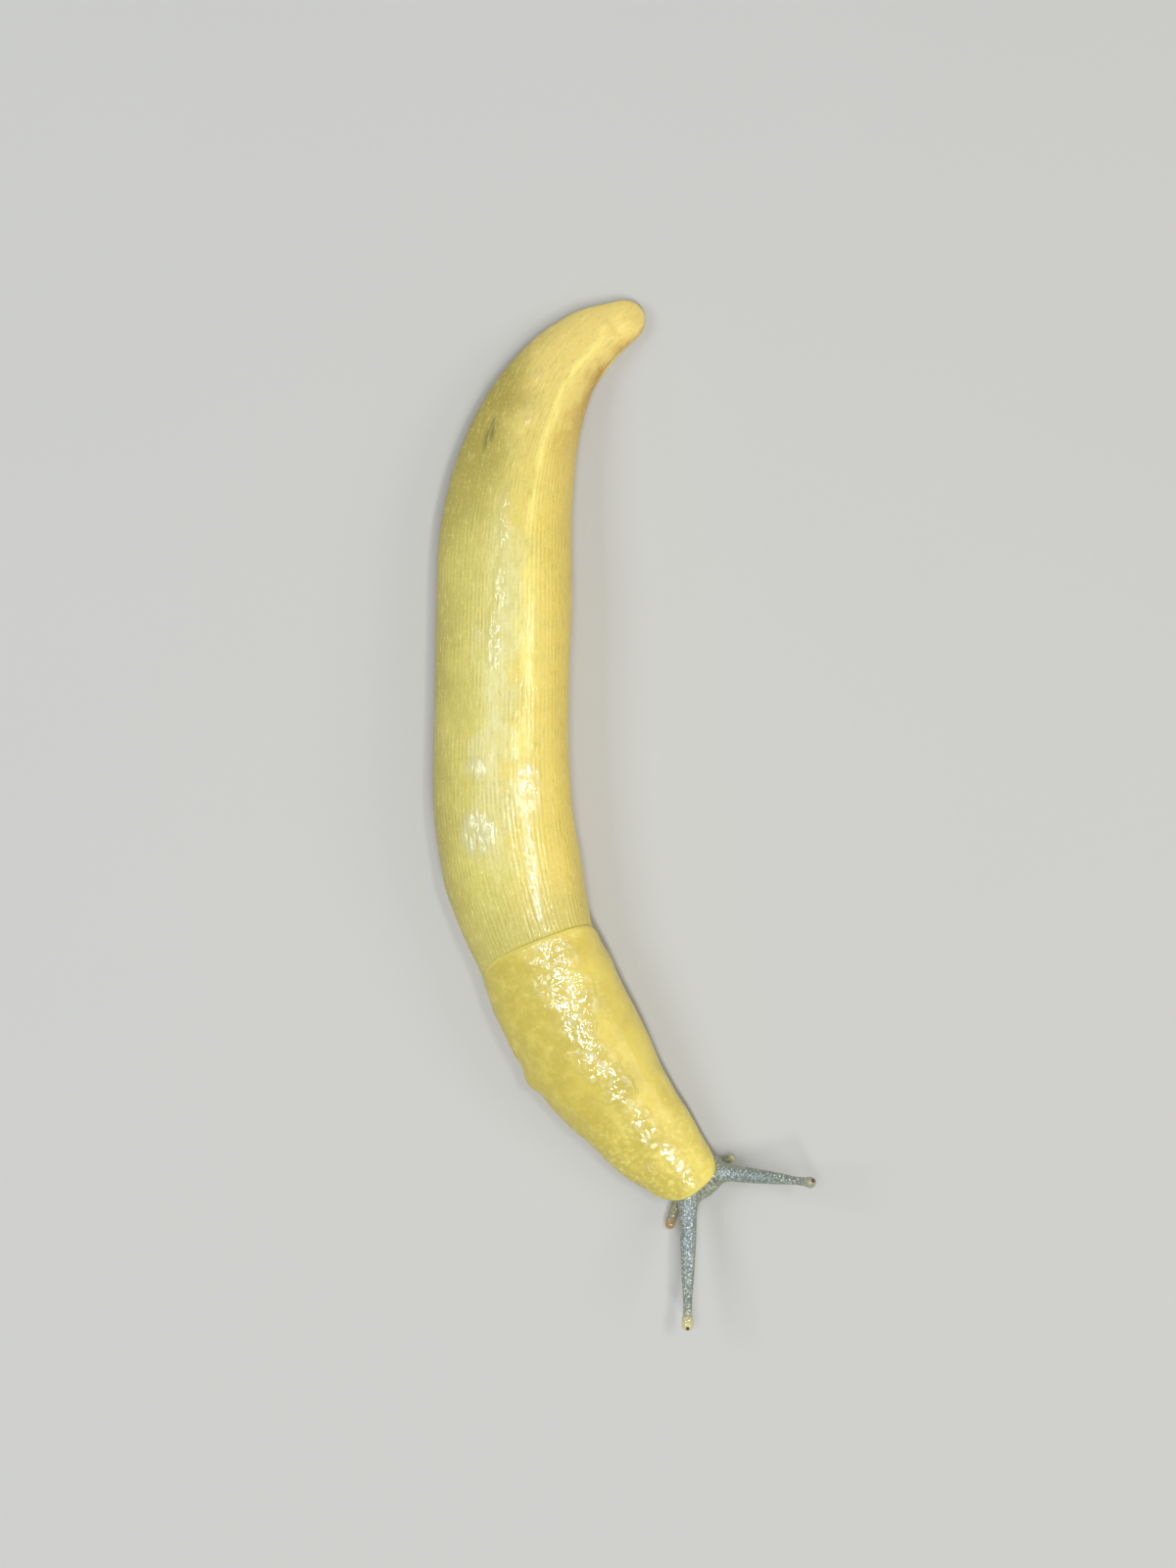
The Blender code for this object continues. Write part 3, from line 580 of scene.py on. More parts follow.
# The head: one smooth skin over the neck, the lips, both tentacles and both feelers
headSkin = {
    "cell": 0.000137,
    "far": 0.004,
    "level": 0.007,
    "coreReach": 0.0095,
    "limbReach": 0.005,
    "low": (-0.006, -0.1004, 0.0012),
    "high": (0.0392, -0.0525, 0.0196),
    "start": 0.1745,
    "startRadius": 0.0014,
    "end": 0.1942,
    "endRadius": 0.0052,
    "endRise": 0.0014,
    "halfWidths": ((0.1725, 0.0069), (0.178, 0.0069), (0.183, 0.0056), (0.19, 0.0051)),
    "crests": ((0.1725, 0.0114), (0.178, 0.0111), (0.184, 0.0096), (0.19, 0.0087)),
    "belly": 0.42,
    "underRound": 0.0008,
    "crease": {
        "from": 0.1915, "to": 0.195, "across": 0.0016, "height": 0.0082,
        "radius": 0.0005, "reach": 0.002, "blend": 0.0006,
    },
    "mouthPlace": 0.1932,
    "mouthHeight": 0.0036,
    "mouthRadii": (0.0017, 0.0022, 0.00022),
    "mouthBlend": 0.0002,
    "lipBlend": 0.0004,
    # Each lip's place, distance to the left, height and radii
    "lips": (
        (0.1922, 0.0, 0.00435, (0.0014, 0.0023, 0.00085)),
        (0.1921, 0.0, 0.00285, (0.0013, 0.002, 0.00075)),
        (0.1913, 0.0026, 0.0031, (0.0013, 0.001, 0.001)),
        (0.1913, -0.0026, 0.0031, (0.0013, 0.001, 0.001)),
    ),
    "tentacleGrain": 0.00052,
    "headGrain": 0.00064,
    "grainHeight": 0.00006,
    "relaxing": {"times": 3, "pull": 0.5},
    # A limb's own skin starts at these shares of its length and distances from it, its bulb at these shares
    "limbStart": (-0.12, 0.06),
    "limbGap": (0.0009, 0.0003),
    "bulb": (0.84, 0.93),
    "eyeRim": (0.0006, 0.0012),
    # Noises: size, seed and height
    "neckFolds": ((0.0024, 53, 0.0001),),
    "folds": ((0.0016, 54, 0.00003),),
    # The direction that the tentacles' painted glints face
    "paintedGlintFacing": (0.35, 0.35, 1.0),
    # The map's strips, and the part of the head that its own strip covers
    "strips": {"pitch": 0.2, "margin": 0.015, "width": 0.17},
    "mapped": {"from": 0.169, "length": 0.028, "level": 0.0055},
}
# The two kinds of limb: the sag, the reach of the rounded join, and the radius at shares of the length
tentacle = {
    "sag": 0.0011,
    "blend": 0.0016,
    "radii": (
        (-0.21, 0.0031), (-0.08, 0.0025), (0.0, 0.00208), (0.1, 0.00174), (0.3, 0.00159),
        (0.6, 0.00122), (0.8, 0.0009), (0.86, 0.00094), (0.93, 0.00118), (0.955, 0.00122),
    ),
}
feeler = {
    "sag": 0.0,
    "blend": 0.0008,
    "radii": (
        (-0.6, 0.0016), (-0.2, 0.0013), (0.0, 0.00105), (0.5, 0.00088), (0.8, 0.00086), (1.0, 0.0008),
    ),
}
# Each limb's root is a place, a distance to the left and a height, and its angles are in degrees
limbs = {
    "tentacleRight": tentacle | {
        "root": (0.1881, 0.0005, 0.005), "reach": 0.0054, "heading": -0.6, "rise": 16.0,
        "length": 0.0255, "stout": 1.0, "eye": (38, 0),
    },
    "tentacleLeft": tentacle | {
        "root": (0.1894, 0.0027, 0.004), "reach": 0.0052, "heading": 85.6, "rise": 31.0,
        "length": 0.0202, "stout": 0.95, "eye": (44, 50),
    },
    "feelerRight": feeler | {
        "root": (0.1888, -0.0012, 0.0034), "reach": 0.0042, "heading": -19.0, "rise": -6.0,
        "length": 0.0056, "stout": 1.1,
    },
    "feelerLeft": feeler | {
        "root": (0.1896, 0.0032, 0.0032), "reach": 0.004, "heading": 108.0, "rise": -4.0,
        "length": 0.0024, "stout": 0.95,
    },
}
eyeShape = {"radius": 0.00032, "depth": 0.00018, "cup": 0.00036, "reach": 0.0012, "blend": 0.00018}


def axisOf(limb):
    turn, lift = math.radians(limb["heading"]), math.radians(limb["rise"])
    return np.array([math.sin(turn) * math.cos(lift), -math.cos(turn) * math.cos(lift), math.sin(lift)])


def limbCentres(limb, shares):  # points on a limb's middle line, which sags and lifts again to its tip
    out = limb["reach"] + limb["length"] * shares
    centres = onBody(*limb["root"]) + axisOf(limb) * out[..., None]
    centres[..., 2] -= limb["sag"] * np.sin(math.pi * shares) * np.clip(shares, 0, 1)
    return centres


def limbShares(limb, points):
    out = (points - onBody(*limb["root"])) @ axisOf(limb)
    return (out - limb["reach"]) / limb["length"]


def limbDistance(limb, points):
    last = 1 - limb["radii"][-1][1] * limb["stout"] / limb["length"]
    shares = np.clip(limbShares(limb, points), limb["radii"][0][0], last)
    return lengthOf(points - limbCentres(limb, shares)) - along(limb["radii"], shares) * limb["stout"]


def eyePlace(limb):  # on the bulb's end, raised from the axis by one angle and turned round it by another
    lift, roll = np.radians(limb["eye"])
    share, radius = limb["radii"][-1]
    side = unit(np.cross((0, 0, 1), axisOf(limb)))
    aside = np.cross(axisOf(limb), side) * math.cos(roll) + side * math.sin(roll)
    out = axisOf(limb) * math.cos(lift) + aside * math.sin(lift)
    return limbCentres(limb, np.array(share)) + out * (radius * limb["stout"] - eyeShape["depth"])


def smoothLeast(a, b, blend):  # the lesser of two distances, with a rounded join
    t = np.clip(0.5 + 0.5 * (b - a) / blend, 0, 1)
    return b * (1 - t) + a * t - blend * t * (1 - t)


def eggDistance(offsets, radii):  # about the distance to an egg shape round the origin
    scaled = [offset / radius for offset, radius in zip(offsets, radii)]
    near = np.sqrt(sum(part**2 for part in scaled)) + 1e-9
    steep = np.sqrt(sum((part / radius) ** 2 for part, radius in zip(scaled, radii))) + 1e-9
    return near * (near - 1) / steep


def spineFrame(x, y):  # places along the spine and distances to its left, near the head
    places = np.arange(0.16, 0.1998, 0.0001)
    middle = onBody(places, 0.0, 0.0)[:, :2]
    gaps = (x[..., None] - middle[:, 0]) ** 2 + (y[..., None] - middle[:, 1]) ** 2
    nearest = np.argmin(gaps, axis=-1)
    headings = np.radians(along(spineShape["headings"], places[nearest]))
    dx, dy = x - middle[nearest, 0], y - middle[nearest, 1]
    ahead = dx * np.sin(headings) - dy * np.cos(headings)
    return places[nearest] + ahead, dx * np.cos(headings) + dy * np.sin(headings)


def headDistance(places, across, z):
    s = headSkin
    across = across - along(footSkin["headShifts"], places)
    front = np.clip(places - (s["end"] - s["endRadius"]), 0, None) / s["endRadius"]
    behind = np.clip(s["start"] - places, 0, None) / s["startRadius"]
    base = bodyShape["base"] + s["endRise"] * np.clip(front, 0, 1) ** 2
    crests = along(s["crests"], places)
    bellies = base + s["belly"] * (crests - base)
    tall = np.where(z > bellies, crests - bellies, (bellies - base) * 1.5)
    wide = along(s["halfWidths"], places)
    near = np.sqrt((across / wide) ** 2 + ((z - bellies) / tall) ** 2 + front**2 + behind**2) + 1e-9
    steep = (across / wide**2) ** 2 + ((z - bellies) / tall**2) ** 2
    steep = steep + (front / s["endRadius"]) ** 2 + (behind / s["startRadius"]) ** 2
    distance = near * (near - 1) / (np.sqrt(steep) + 1e-9)
    distance = -smoothLeast(-distance, z - base, s["underRound"])
    for place, side, height, radii in s["lips"]:
        lip = eggDistance((places - place, across - side, z - height), radii)
        distance = smoothLeast(distance, lip, s["lipBlend"])
    mouth = eggDistance((places - s["mouthPlace"], across, z - s["mouthHeight"]), s["mouthRadii"])
    return -smoothLeast(-distance, mouth, s["mouthBlend"])


def surfaceOf(field, low, cell):  # the skin where the field is zero, as points and four-sided faces
    inside = field < 0
    nx, ny, nz = (n - 1 for n in field.shape)
    count = np.zeros((nx, ny, nz), np.uint8)
    for i, j, k in np.ndindex(2, 2, 2):
        count += inside[i : nx + i, j : ny + j, k : nz + k]
    cells = np.argwhere((count > 0) & (count < 8))
    index = np.full((nx, ny, nz), -1)
    index[tuple(cells.T)] = np.arange(len(cells))
    total, hits = np.zeros((len(cells), 3)), np.zeros((len(cells), 1))
    for start in np.ndindex(2, 2, 2):
        for axis in range(3):
            if start[axis]:
                continue
            stop = np.array(start)
            stop[axis] = 1
            a, b = field[tuple((cells + start).T)], field[tuple((cells + stop).T)]
            crossed = ((a < 0) != (b < 0))[:, None]
            t = np.where(crossed[:, 0], a / np.where(a == b, 1, a - b), 0)[:, None]
            total += np.where(crossed, np.array(start) + (stop - start) * t, 0)
            hits += crossed
    faces = []
    for axis in range(3):
        one, two = np.eye(3, dtype=int)[(axis + 1) % 3], np.eye(3, dtype=int)[(axis + 2) % 3]
        first = np.take(inside, range(field.shape[axis] - 1), axis)
        second = np.take(inside, range(1, field.shape[axis]), axis)
        edges = np.argwhere(first != second)
        edges = edges[np.all(edges >= one + two, axis=1) & np.all(edges < (nx, ny, nz), axis=1)]
        shifts = (one * 0, one, one + two, two)
        quads = np.stack([index[tuple((edges - shift).T)] for shift in shifts], axis=1)
        leaving = first[tuple(edges.T)]
        faces.append(np.where(leaving[:, None], quads, quads[:, ::-1]))
    return low + (cells + total / hits) * cell, np.concatenate(faces)


def relax(points, faces, times, pull):  # moves each point towards the middle of its neighbours
    edges = np.concatenate([faces[:, [k, (k + 1) % 4]] for k in range(4)])
    for _ in range(times):
        total, hits = np.zeros_like(points), np.zeros((len(points), 1))
        for a, b in ((0, 1), (1, 0)):
            for k in range(3):
                total[:, k] += np.bincount(edges[:, a], points[edges[:, b], k], len(points))
            hits[:, 0] += np.bincount(edges[:, a], minlength=len(points))
        points = points + pull * (total / hits - points)
    return points


def pointNormals(points, faces):
    a, b, c, d = (points[faces[:, k]] for k in range(4))
    flat = np.cross(c - a, d - b)
    normals = np.zeros_like(points)
    for k in range(4):
        for j in range(3):
            normals[:, j] += np.bincount(faces[:, k], flat[:, j], len(points))
    return unit(normals)


def grains(points, size, seed):  # close-set domes: 0 in the seams between them and 1 on them
    scaled = points / size
    cells = np.floor(scaled)
    nearest = np.full((len(points), 2), 9.0)
    for step in np.ndindex(3, 3, 3):
        around = cells + np.array(step) - 1
        domes = around + stacked(*(hashed(around, seed + k) for k in range(3)))
        gap = lengthOf(scaled - domes)
        nearest[:, 1] = np.minimum(nearest[:, 1], np.maximum(nearest[:, 0], gap))
        nearest[:, 0] = np.minimum(nearest[:, 0], gap)
    return ramp(nearest[:, 1] - nearest[:, 0], 0, 0.45)


def makeHead():
    s = headSkin
    low = np.array(s["low"])
    counts = np.ceil((np.array(s["high"]) - low) / s["cell"]).astype(int)
    axes = [low[k] + np.arange(counts[k]) * s["cell"] for k in range(3)]
    field = np.full(counts, s["far"], np.float32)

    def region(centre, reach):  # the part of the grid within reach of some points
        first = [np.searchsorted(axes[k], centre[..., k].min() - reach) for k in range(3)]
        last = [np.searchsorted(axes[k], centre[..., k].max() + reach) for k in range(3)]
        return tuple(slice(a, b) for a, b in zip(first, last))

    def pointsIn(part):
        return np.stack(np.meshgrid(*(axes[k][part[k]] for k in range(3)), indexing="ij"), -1)

    spine = onBody(np.linspace(s["start"], s["end"], 9), 0.0, s["level"])
    part = region(spine, s["coreReach"])
    x, y = np.meshgrid(axes[0][part[0]], axes[1][part[1]], indexing="ij")
    places, across = spineFrame(x, y)
    field[part] = headDistance(places[..., None], across[..., None], axes[2][part[2]])
    print("head core", field[part].shape)
    for limb in limbs.values():
        centres = limbCentres(limb, np.linspace(limb["radii"][0][0], 1, 9))
        part = region(centres, s["limbReach"])
        field[part] = smoothLeast(field[part], limbDistance(limb, pointsIn(part)), limb["blend"])
    crease = s["crease"]
    centres = onBody(np.linspace(crease["from"], crease["to"], 9), crease["across"], crease["height"])
    part = region(centres, crease["reach"])
    away = np.min([lengthOf(pointsIn(part) - centre) for centre in centres], axis=0)
    field[part] = -smoothLeast(-field[part], away - crease["radius"], crease["blend"])
    eyePlaces = [eyePlace(limbs[name]) for name in ("tentacleRight", "tentacleLeft")]
    for eye in eyePlaces:
        part = region(eye[None], eyeShape["reach"])
        away = lengthOf(pointsIn(part) - eye) - eyeShape["cup"]
        field[part] = -smoothLeast(-field[part], away, eyeShape["blend"])
    points, faces = surfaceOf(field, low, s["cell"])
    points = relax(points, faces, **s["relaxing"])
    print("head surface", len(points))

    # Which limb each point is on, and how far along it
    gaps = np.stack([limbDistance(limb, points) for limb in limbs.values()])
    shares = np.stack([limbShares(limb, points) for limb in limbs.values()])
    owner = np.argmin(gaps, axis=0)
    share = shares[owner, np.arange(len(points))]
    onLimb = ramp(share, *s["limbStart"]) * ramp(np.min(gaps, axis=0), *s["limbGap"])
    isTentacle = owner < 2
    normals = pointNormals(points, faces)
    bulb = ramp(share, *s["bulb"]) * isTentacle * onLimb
    headGrains, limbGrains = grains(points, s["headGrain"], 51), grains(points, s["tentacleGrain"], 52)
    grain = headGrains * (1 - onLimb) + limbGrains * onLimb
    toEyes = [lengthOf(points - eye) for eye in eyePlaces]
    heights = s["grainHeight"] * (1 - 0.75 * bulb) * ramp(np.min(toEyes, axis=0), *s["eyeRim"])
    folds = noises(points, s["neckFolds"]) * (1 - onLimb) + noises(points, s["folds"])
    points = points + normals * (heights * (grain - 0.6) + folds)[:, None]
    centres = np.stack([limbCentres(limb, np.clip(part, 0, 1)) for limb, part in zip(limbs.values(), shares)])
    outward = unit(points - centres[owner, np.arange(len(points))])
    marks = {
        "grain": grain, "onTentacle": onLimb * isTentacle, "onFeeler": onLimb * ~isTentacle,
        "share": np.clip(share, 0, 1) * onLimb, "rightSide": np.isin(owner, (0, 2)).astype(float),
        "spot": bell(lengthOf(points - eyePlaces[1]), 0, 0.0006), "upper": outward[:, 2],
        "paintedGlintLine": outward @ unit(np.array(s["paintedGlintFacing"])), "place": spineFrame(points[:, 0], points[:, 1])[0],
    }

    # The map: one strip for each limb and one for the head, round each one's own middle line
    middle = points[faces].mean(axis=1)
    chart = np.where(onLimb[faces].mean(axis=1) > 0.3, owner[faces[:, 0]], 4)
    uvs = np.zeros((len(faces), 4, 2))
    strips, mapped = s["strips"], s["mapped"]
    for k, limb in enumerate([*limbs.values(), None]):
        mine = chart == k
        corners = np.concatenate([points[faces[mine]], middle[mine][:, None]], axis=1)
        if limb:
            shareHere = limbShares(limb, corners)
            out = corners - limbCentres(limb, shareHere)
            side = np.cross(axisOf(limb), (0, 0, 1))
            up = np.cross(side, axisOf(limb))
            turn = np.arctan2(out @ side, out @ up)
            ahead = np.clip((shareHere + 0.2) / 1.25, 0, 1)
        else:
            placeHere, sideHere = spineFrame(corners[..., 0], corners[..., 1])
            turn = np.arctan2(sideHere, corners[..., 2] - mapped["level"])
            ahead = np.clip((placeHere - mapped["from"]) / mapped["length"], 0, 1)
        base = turn[:, -1:]
        turn = base + (turn[:, :4] - base + math.pi) % (2 * math.pi) - math.pi
        strip = np.clip((turn + math.pi) / (2 * math.pi), -0.05, 1.05) * strips["width"] + strips["margin"]
        uvs[mine] = stacked(strip + strips["pitch"] * k, 0.01 + 0.98 * ahead[:, :4])
    return addMesh("head_skin_mesh", points, faces.tolist(), uvs.reshape(-1, 2), marks)


head = makeHead()
print("head", len(head.data.polygons))


def makeEye(name, limb):
    bm = bmesh.new()
    bm.loops.layers.uv.new("OFBake")
    bmesh.ops.create_uvsphere(bm, u_segments=32, v_segments=20, radius=eyeShape["radius"], calc_uvs=True)
    mesh = bpy.data.meshes.new(name)
    bm.to_mesh(mesh)
    bm.free()
    mesh.shade_smooth()
    made = addObject(name, mesh)
    made.location = eyePlace(limb)
    return made


eyes = {side: makeEye(f"{side}_eye_ball", limbs[f"tentacle{side.title()}"]) for side in ("right", "left")}
print("eyes")


# Finishes
def screen(red, green, blue):  # a screen colour of 0 to 255, none of them near 0, as a linear one
    return tuple(((c / 255 + 0.055) / 1.055) ** 2.4 for c in (red, green, blue)) + (1,)


class Nodes:  # short names for the nodes that the finishes share
    def __init__(self, name, colours=None):
        self.colours, self.colour = colours, None
        self.made = bpy.data.materials.new(name)
        self.made.use_nodes = True
        self.tree = self.made.node_tree
        self.position = self.add("ShaderNodeNewGeometry", {}, "Position")

    def fill(self, node, inputs):  # links the inputs that are other nodes' outputs, and sets the rest
        for socket, value in inputs.items():
            if isinstance(value, bpy.types.NodeSocket):
                self.tree.links.new(value, node.inputs[socket])
            else:
                node.inputs[socket].default_value = value

    def add(self, kind, inputs, output=0, **settings):
        node = self.tree.nodes.new(kind)
        for key, value in settings.items():
            setattr(node, key, value)
        self.fill(node, inputs)
        return node.outputs[output]

    def mark(self, name):
        return self.add("ShaderNodeAttribute", {}, "Fac", attribute_name=name)

    def math(self, operation, a, b=0.0, c=0.0):
        return self.add("ShaderNodeMath", {0: a, 1: b, 2: c}, operation=operation)

    def times(self, product, *others):
        for other in others:
            product = self.math("MULTIPLY", product, other)
        return product

    def span(self, value, low, high, start=0.0, stop=1.0):
        inputs = {"Value": value, "From Min": low, "From Max": high, "To Min": start, "To Max": stop}
        return self.add("ShaderNodeMapRange", inputs, interpolation_type="SMOOTHSTEP")

    def noise(self, size, detail=2.0, vector=None, rough=0.5):
        inputs = {"Vector": vector or self.position, "Scale": 1 / size, "Detail": detail, "Roughness": rough}
        return self.add("ShaderNodeTexNoise", inputs)

    def cells(self, size):  # close-set dots: 0 at the middle of each one
        inputs = {"Vector": self.position, "Scale": 1 / size}
        return self.add("ShaderNodeTexVoronoi", inputs, "Distance")

    def mix(self, factor, a, b):  # each colour is a name in the finish's list or a node's output
        a, b = (screen(*self.colours[c]) if isinstance(c, str) else c for c in (a, b))
        return self.add("ShaderNodeMix", {0: factor, 6: a, 7: b}, 2, data_type="RGBA")

    def tint(self, factor, colour):  # lays a colour over the finish's own, as far as the factor says
        self.colour = self.mix(factor, self.colour, colour)

    def vector(self, x, y, z=0.0):
        return self.add("ShaderNodeCombineXYZ", {0: x, 1: y, 2: z})

    def bump(self, height, distance, normal=None):
        inputs = {"Height": height, "Distance": distance, "Strength": 1.0}
        if normal:
            inputs["Normal"] = normal
        return self.add("ShaderNodeBump", inputs)

    def finish(self, roughness, normal, settings):
        base = {"Base Color": self.colour, "Roughness": roughness, "Normal": normal}
        self.fill(self.tree.nodes["Principled BSDF"], base | settings)
        return self.made


wetSkin = {
    "Subsurface Weight": 0.3,
    "Subsurface Radius": (1.0, 0.62, 0.2),
    "Subsurface Scale": 0.0014,
    "Coat Weight": 0.45,
    "Coat Roughness": 0.16,
    "Coat IOR": 1.7,
    "Specular IOR Level": 0.25,
}

# The finishes' colours are screen colours of 0 to 255
backFinish = {
    "right": (214, 202, 112),
    "rightFlankShade": (186, 172, 92),
    "left": (231, 206, 104),
    "leftFlankLight": (254, 221, 114),
    "paintedSkySheen": (226, 220, 162),
    "crest": (248, 232, 134),
    "tail": (242, 214, 126),
    "tailLeft": (192, 146, 60),
    "tailFlankShade": (158, 142, 58),
    "dull": (200, 188, 106),
    "groove": (160, 146, 62),
    "speckAndGlint": (254, 244, 160),
    "darkPatch": (112, 112, 70),
    "paintedSheen": (216, 218, 186),
    "paintedHighlight": (252, 246, 196),
    "neck": (180, 172, 100),
}


def makeBackFinish():
    n = Nodes("back_skin_finish", backFinish)
    girth, place, wet = n.mark("girth"), n.mark("place"), n.mark("wet")
    skinPlace = n.vector(girth, n.times(place, 0.3))
    patches = n.math("SUBTRACT", n.span(n.noise(0.011, 3.0), 0.3, 0.7), 0.5)
    wandering = n.math("MULTIPLY_ADD", patches, 0.006, girth)
    # The right side's greener, duller tone and the left side's warmer one are partly the skin's own, partly
    # painted light and shade
    n.colour = n.mix(n.span(wandering, -0.008, 0.006), "right", "left")
    # Painted shade darkens the outer right flank, and painted light brightens the outer left flank
    n.tint(n.span(wandering, -0.01, -0.021, 0.0, 0.9), "rightFlankShade")
    n.tint(n.span(wandering, 0.01, 0.019, 0.0, 0.8), "leftFlankLight")
    n.tint(n.span(place, 0.055, 0.008, 0.0, 0.8), "tail")
    # Painted shade on the tail's right flank
    shadedSide = n.span(wandering, -0.003, -0.013, 0.0, 0.75)
    n.tint(n.times(n.span(place, 0.065, 0.032), n.span(place, 0.008, 0.026), shadedSide), "tailFlankShade")
    n.tint(n.times(n.span(place, 0.045, 0.012), n.span(wandering, 0.0012, 0.006, 0.0, 0.95)), "tailLeft")
    # Painted sheen: a pale reflection of the sky along the back, between the crest and the right flank
    across = n.times(n.span(wandering, -0.0004, -0.0036), n.span(wandering, -0.011, -0.0066))
    mottle = n.span(n.noise(0.0012, 3.0, skinPlace), 0.3, 0.7, 0.25, 0.75)
    n.tint(n.times(n.span(place, 0.04, 0.068), n.span(place, 0.124, 0.108), across, mottle), "paintedSkySheen")
    # Painted highlight: the crest colour lightens the line along the keel and the crest
    mottle = n.span(n.noise(0.003, 3.0, skinPlace), 0.34, 0.62, 0.25, 1.0)
    n.tint(n.times(n.mark("crest"), mottle), "crest")
    n.tint(n.times(n.span(place, 0.118, 0.131), n.span(girth, 0.016, -0.006, 0.35, 0.9)), "dull")
    n.tint(n.span(place, 0.164, 0.18, 0.0, 0.7), "neck")
    # Painted shade: the grooves between the tubercles are darkened
    patchy = n.span(n.noise(0.006), 0.3, 0.7, 0.16, 0.48)
    n.tint(n.times(n.mark("groove"), n.times(patchy, n.span(place, 0.012, 0.055, 0.2, 1.0))), "groove")
    # Fine streaks along the body: the pale ones partly pale specks and partly painted glints on the
    # tubercles, the dark ones in the groove colour
    streaks = n.noise(0.0007, 3.0, skinPlace, 0.6)
    n.tint(n.span(streaks, 0.54, 0.72, 0.0, 0.3), "speckAndGlint")
    n.tint(n.span(streaks, 0.46, 0.28, 0.0, 0.3), "groove")
    wavePlace = n.vector(girth, n.times(place, 0.6))
    # Finer pale specks on the tops of the bumps, partly painted glints
    specks = n.noise(0.00034, 2.0, wavePlace)
    n.tint(n.span(specks, 0.56, 0.74, 0.0, 0.35), "speckAndGlint")
    # Two small dark patches low on the right flank near the tail
    mottle = n.span(n.noise(0.001, 2.0, skinPlace), 0.35, 0.6, 0.1, 0.65)
    n.tint(n.times(n.mark("darkPatch"), mottle), "darkPatch")
    # The wettest spots carry painted light as well as gloss: a pale painted sheen of reflected sky on the
    # right flank, and a painted highlight beside the crest
    broken = n.times(wet, n.span(n.noise(0.0011, 3.0, skinPlace), 0.36, 0.52, 0.15, 1.0))
    paintedSheen = n.times(n.span(girth, -0.0035, -0.0065, 0.0, 0.42), n.span(place, 0.084, 0.092))
    n.tint(n.times(broken, paintedSheen), "paintedSheen")
    paintedHighlight = n.times(n.span(girth, -0.003, -0.0012, 0.0, 0.32), n.span(place, 0.09, 0.098))
    n.tint(n.times(broken, paintedHighlight), "paintedHighlight")
    roughness = n.span(broken, 0.1, 0.6, 0.5, 0.36)
    waves = n.times(n.noise(0.0017, 1.5, wavePlace), wet)
    fine = n.noise(0.0007, 2.0, skinPlace)
    normal = n.bump(specks, 0.00006, n.bump(fine, 0.00008, n.bump(waves, 0.0002)))
    film = n.bump(fine, 0.00006, n.bump(waves, 0.0008))
    coat = n.span(n.math("MULTIPLY_ADD", wet, 0.3, broken), 0.1, 0.7, 0.18, 0.95)
    finish = {"Coat Weight": coat, "Coat Roughness": 0.05, "Coat Normal": film}
    return n.finish(roughness, normal, wetSkin | finish)


footFinish = {"base": (206, 186, 108), "pale": (226, 210, 140), "low": (176, 156, 88)}


def makeFootFinish():
    n = Nodes("foot_skin_finish", footFinish)
    level = n.mark("level")
    n.colour = n.mix(n.span(n.noise(0.003, 3.0), 0.35, 0.65), "base", "pale")
    n.tint(n.span(level, 0.25, 0.0, 0.0, 0.7), "low")
    normal = n.bump(n.noise(0.0005, 3.0), 0.00006)
    return n.finish(n.span(n.noise(0.002), 0.3, 0.7, 0.28, 0.45), normal, wetSkin)


mantleFinish = {
    "right": (199, 181, 82),
    "left": (230, 208, 100),
    "pale": (244, 228, 128),
    "deep": (194, 174, 78),
    "speckAndGlint": (252, 242, 150),
    "rim": (240, 226, 116),
    "paintedSheen": (232, 228, 190),
    "pore": (96, 84, 34),
}


def makeMantleFinish():
    n = Nodes("mantle_skin_finish", mantleFinish)
    girth, wet = n.mark("girth"), n.mark("wet")
    patches = n.math("SUBTRACT", n.span(n.noise(0.012, 3.0), 0.3, 0.7), 0.5)
    side = n.span(n.math("MULTIPLY_ADD", patches, 0.012, girth), -0.006, 0.011)
    n.colour = n.mix(side, "right", "left")
    n.tint(n.span(n.noise(0.0046, 2.0), 0.52, 0.34, 0.0, 0.22), "deep")
    n.tint(n.span(n.noise(0.0028, 3.0), 0.44, 0.72, 0.0, 0.26), "pale")
    # Pale specks towards the front, partly painted glints
    front = n.span(n.mark("place"), 0.164, 0.18, 0.12, 0.42)
    n.tint(n.times(n.span(n.noise(0.001, 3.0), 0.46, 0.74), front), "speckAndGlint")
    # Painted sheen: a pale veil round the glints on the wettest band
    broken = n.times(wet, n.span(n.noise(0.0016, 3.0), 0.42, 0.62))
    n.tint(n.span(broken, 0.35, 1.0, 0.0, 0.3), "paintedSheen")
    # The paler band round the edge is partly the edge's own colour and partly a painted highlight on its
    # rounding
    n.tint(n.span(n.mark("edge"), 0.0012, 0.0002, 0.0, 0.5), "rim")
    # Painted shade: the pore's hole is dark
    n.tint(n.mark("hole"), "pore")
    roughness = n.span(n.noise(0.0015, 2.0), 0.3, 0.7, 0.4, 0.56)
    waves = n.times(n.noise(0.0022, 1.5), wet)
    normal = n.bump(n.noise(0.0009, 2.0), 0.00003, n.bump(waves, 0.00022))
    film = n.bump(waves, 0.00085)
    coat = n.span(n.math("ADD", wet, n.span(n.noise(0.004, 2.0), 0.35, 0.65, 0.0, 0.3)), 0.0, 1.0, 0.3, 0.95)
    finish = {"Coat Weight": coat, "Coat Roughness": 0.04, "Coat Normal": film}
    return n.finish(roughness, normal, wetSkin | finish)


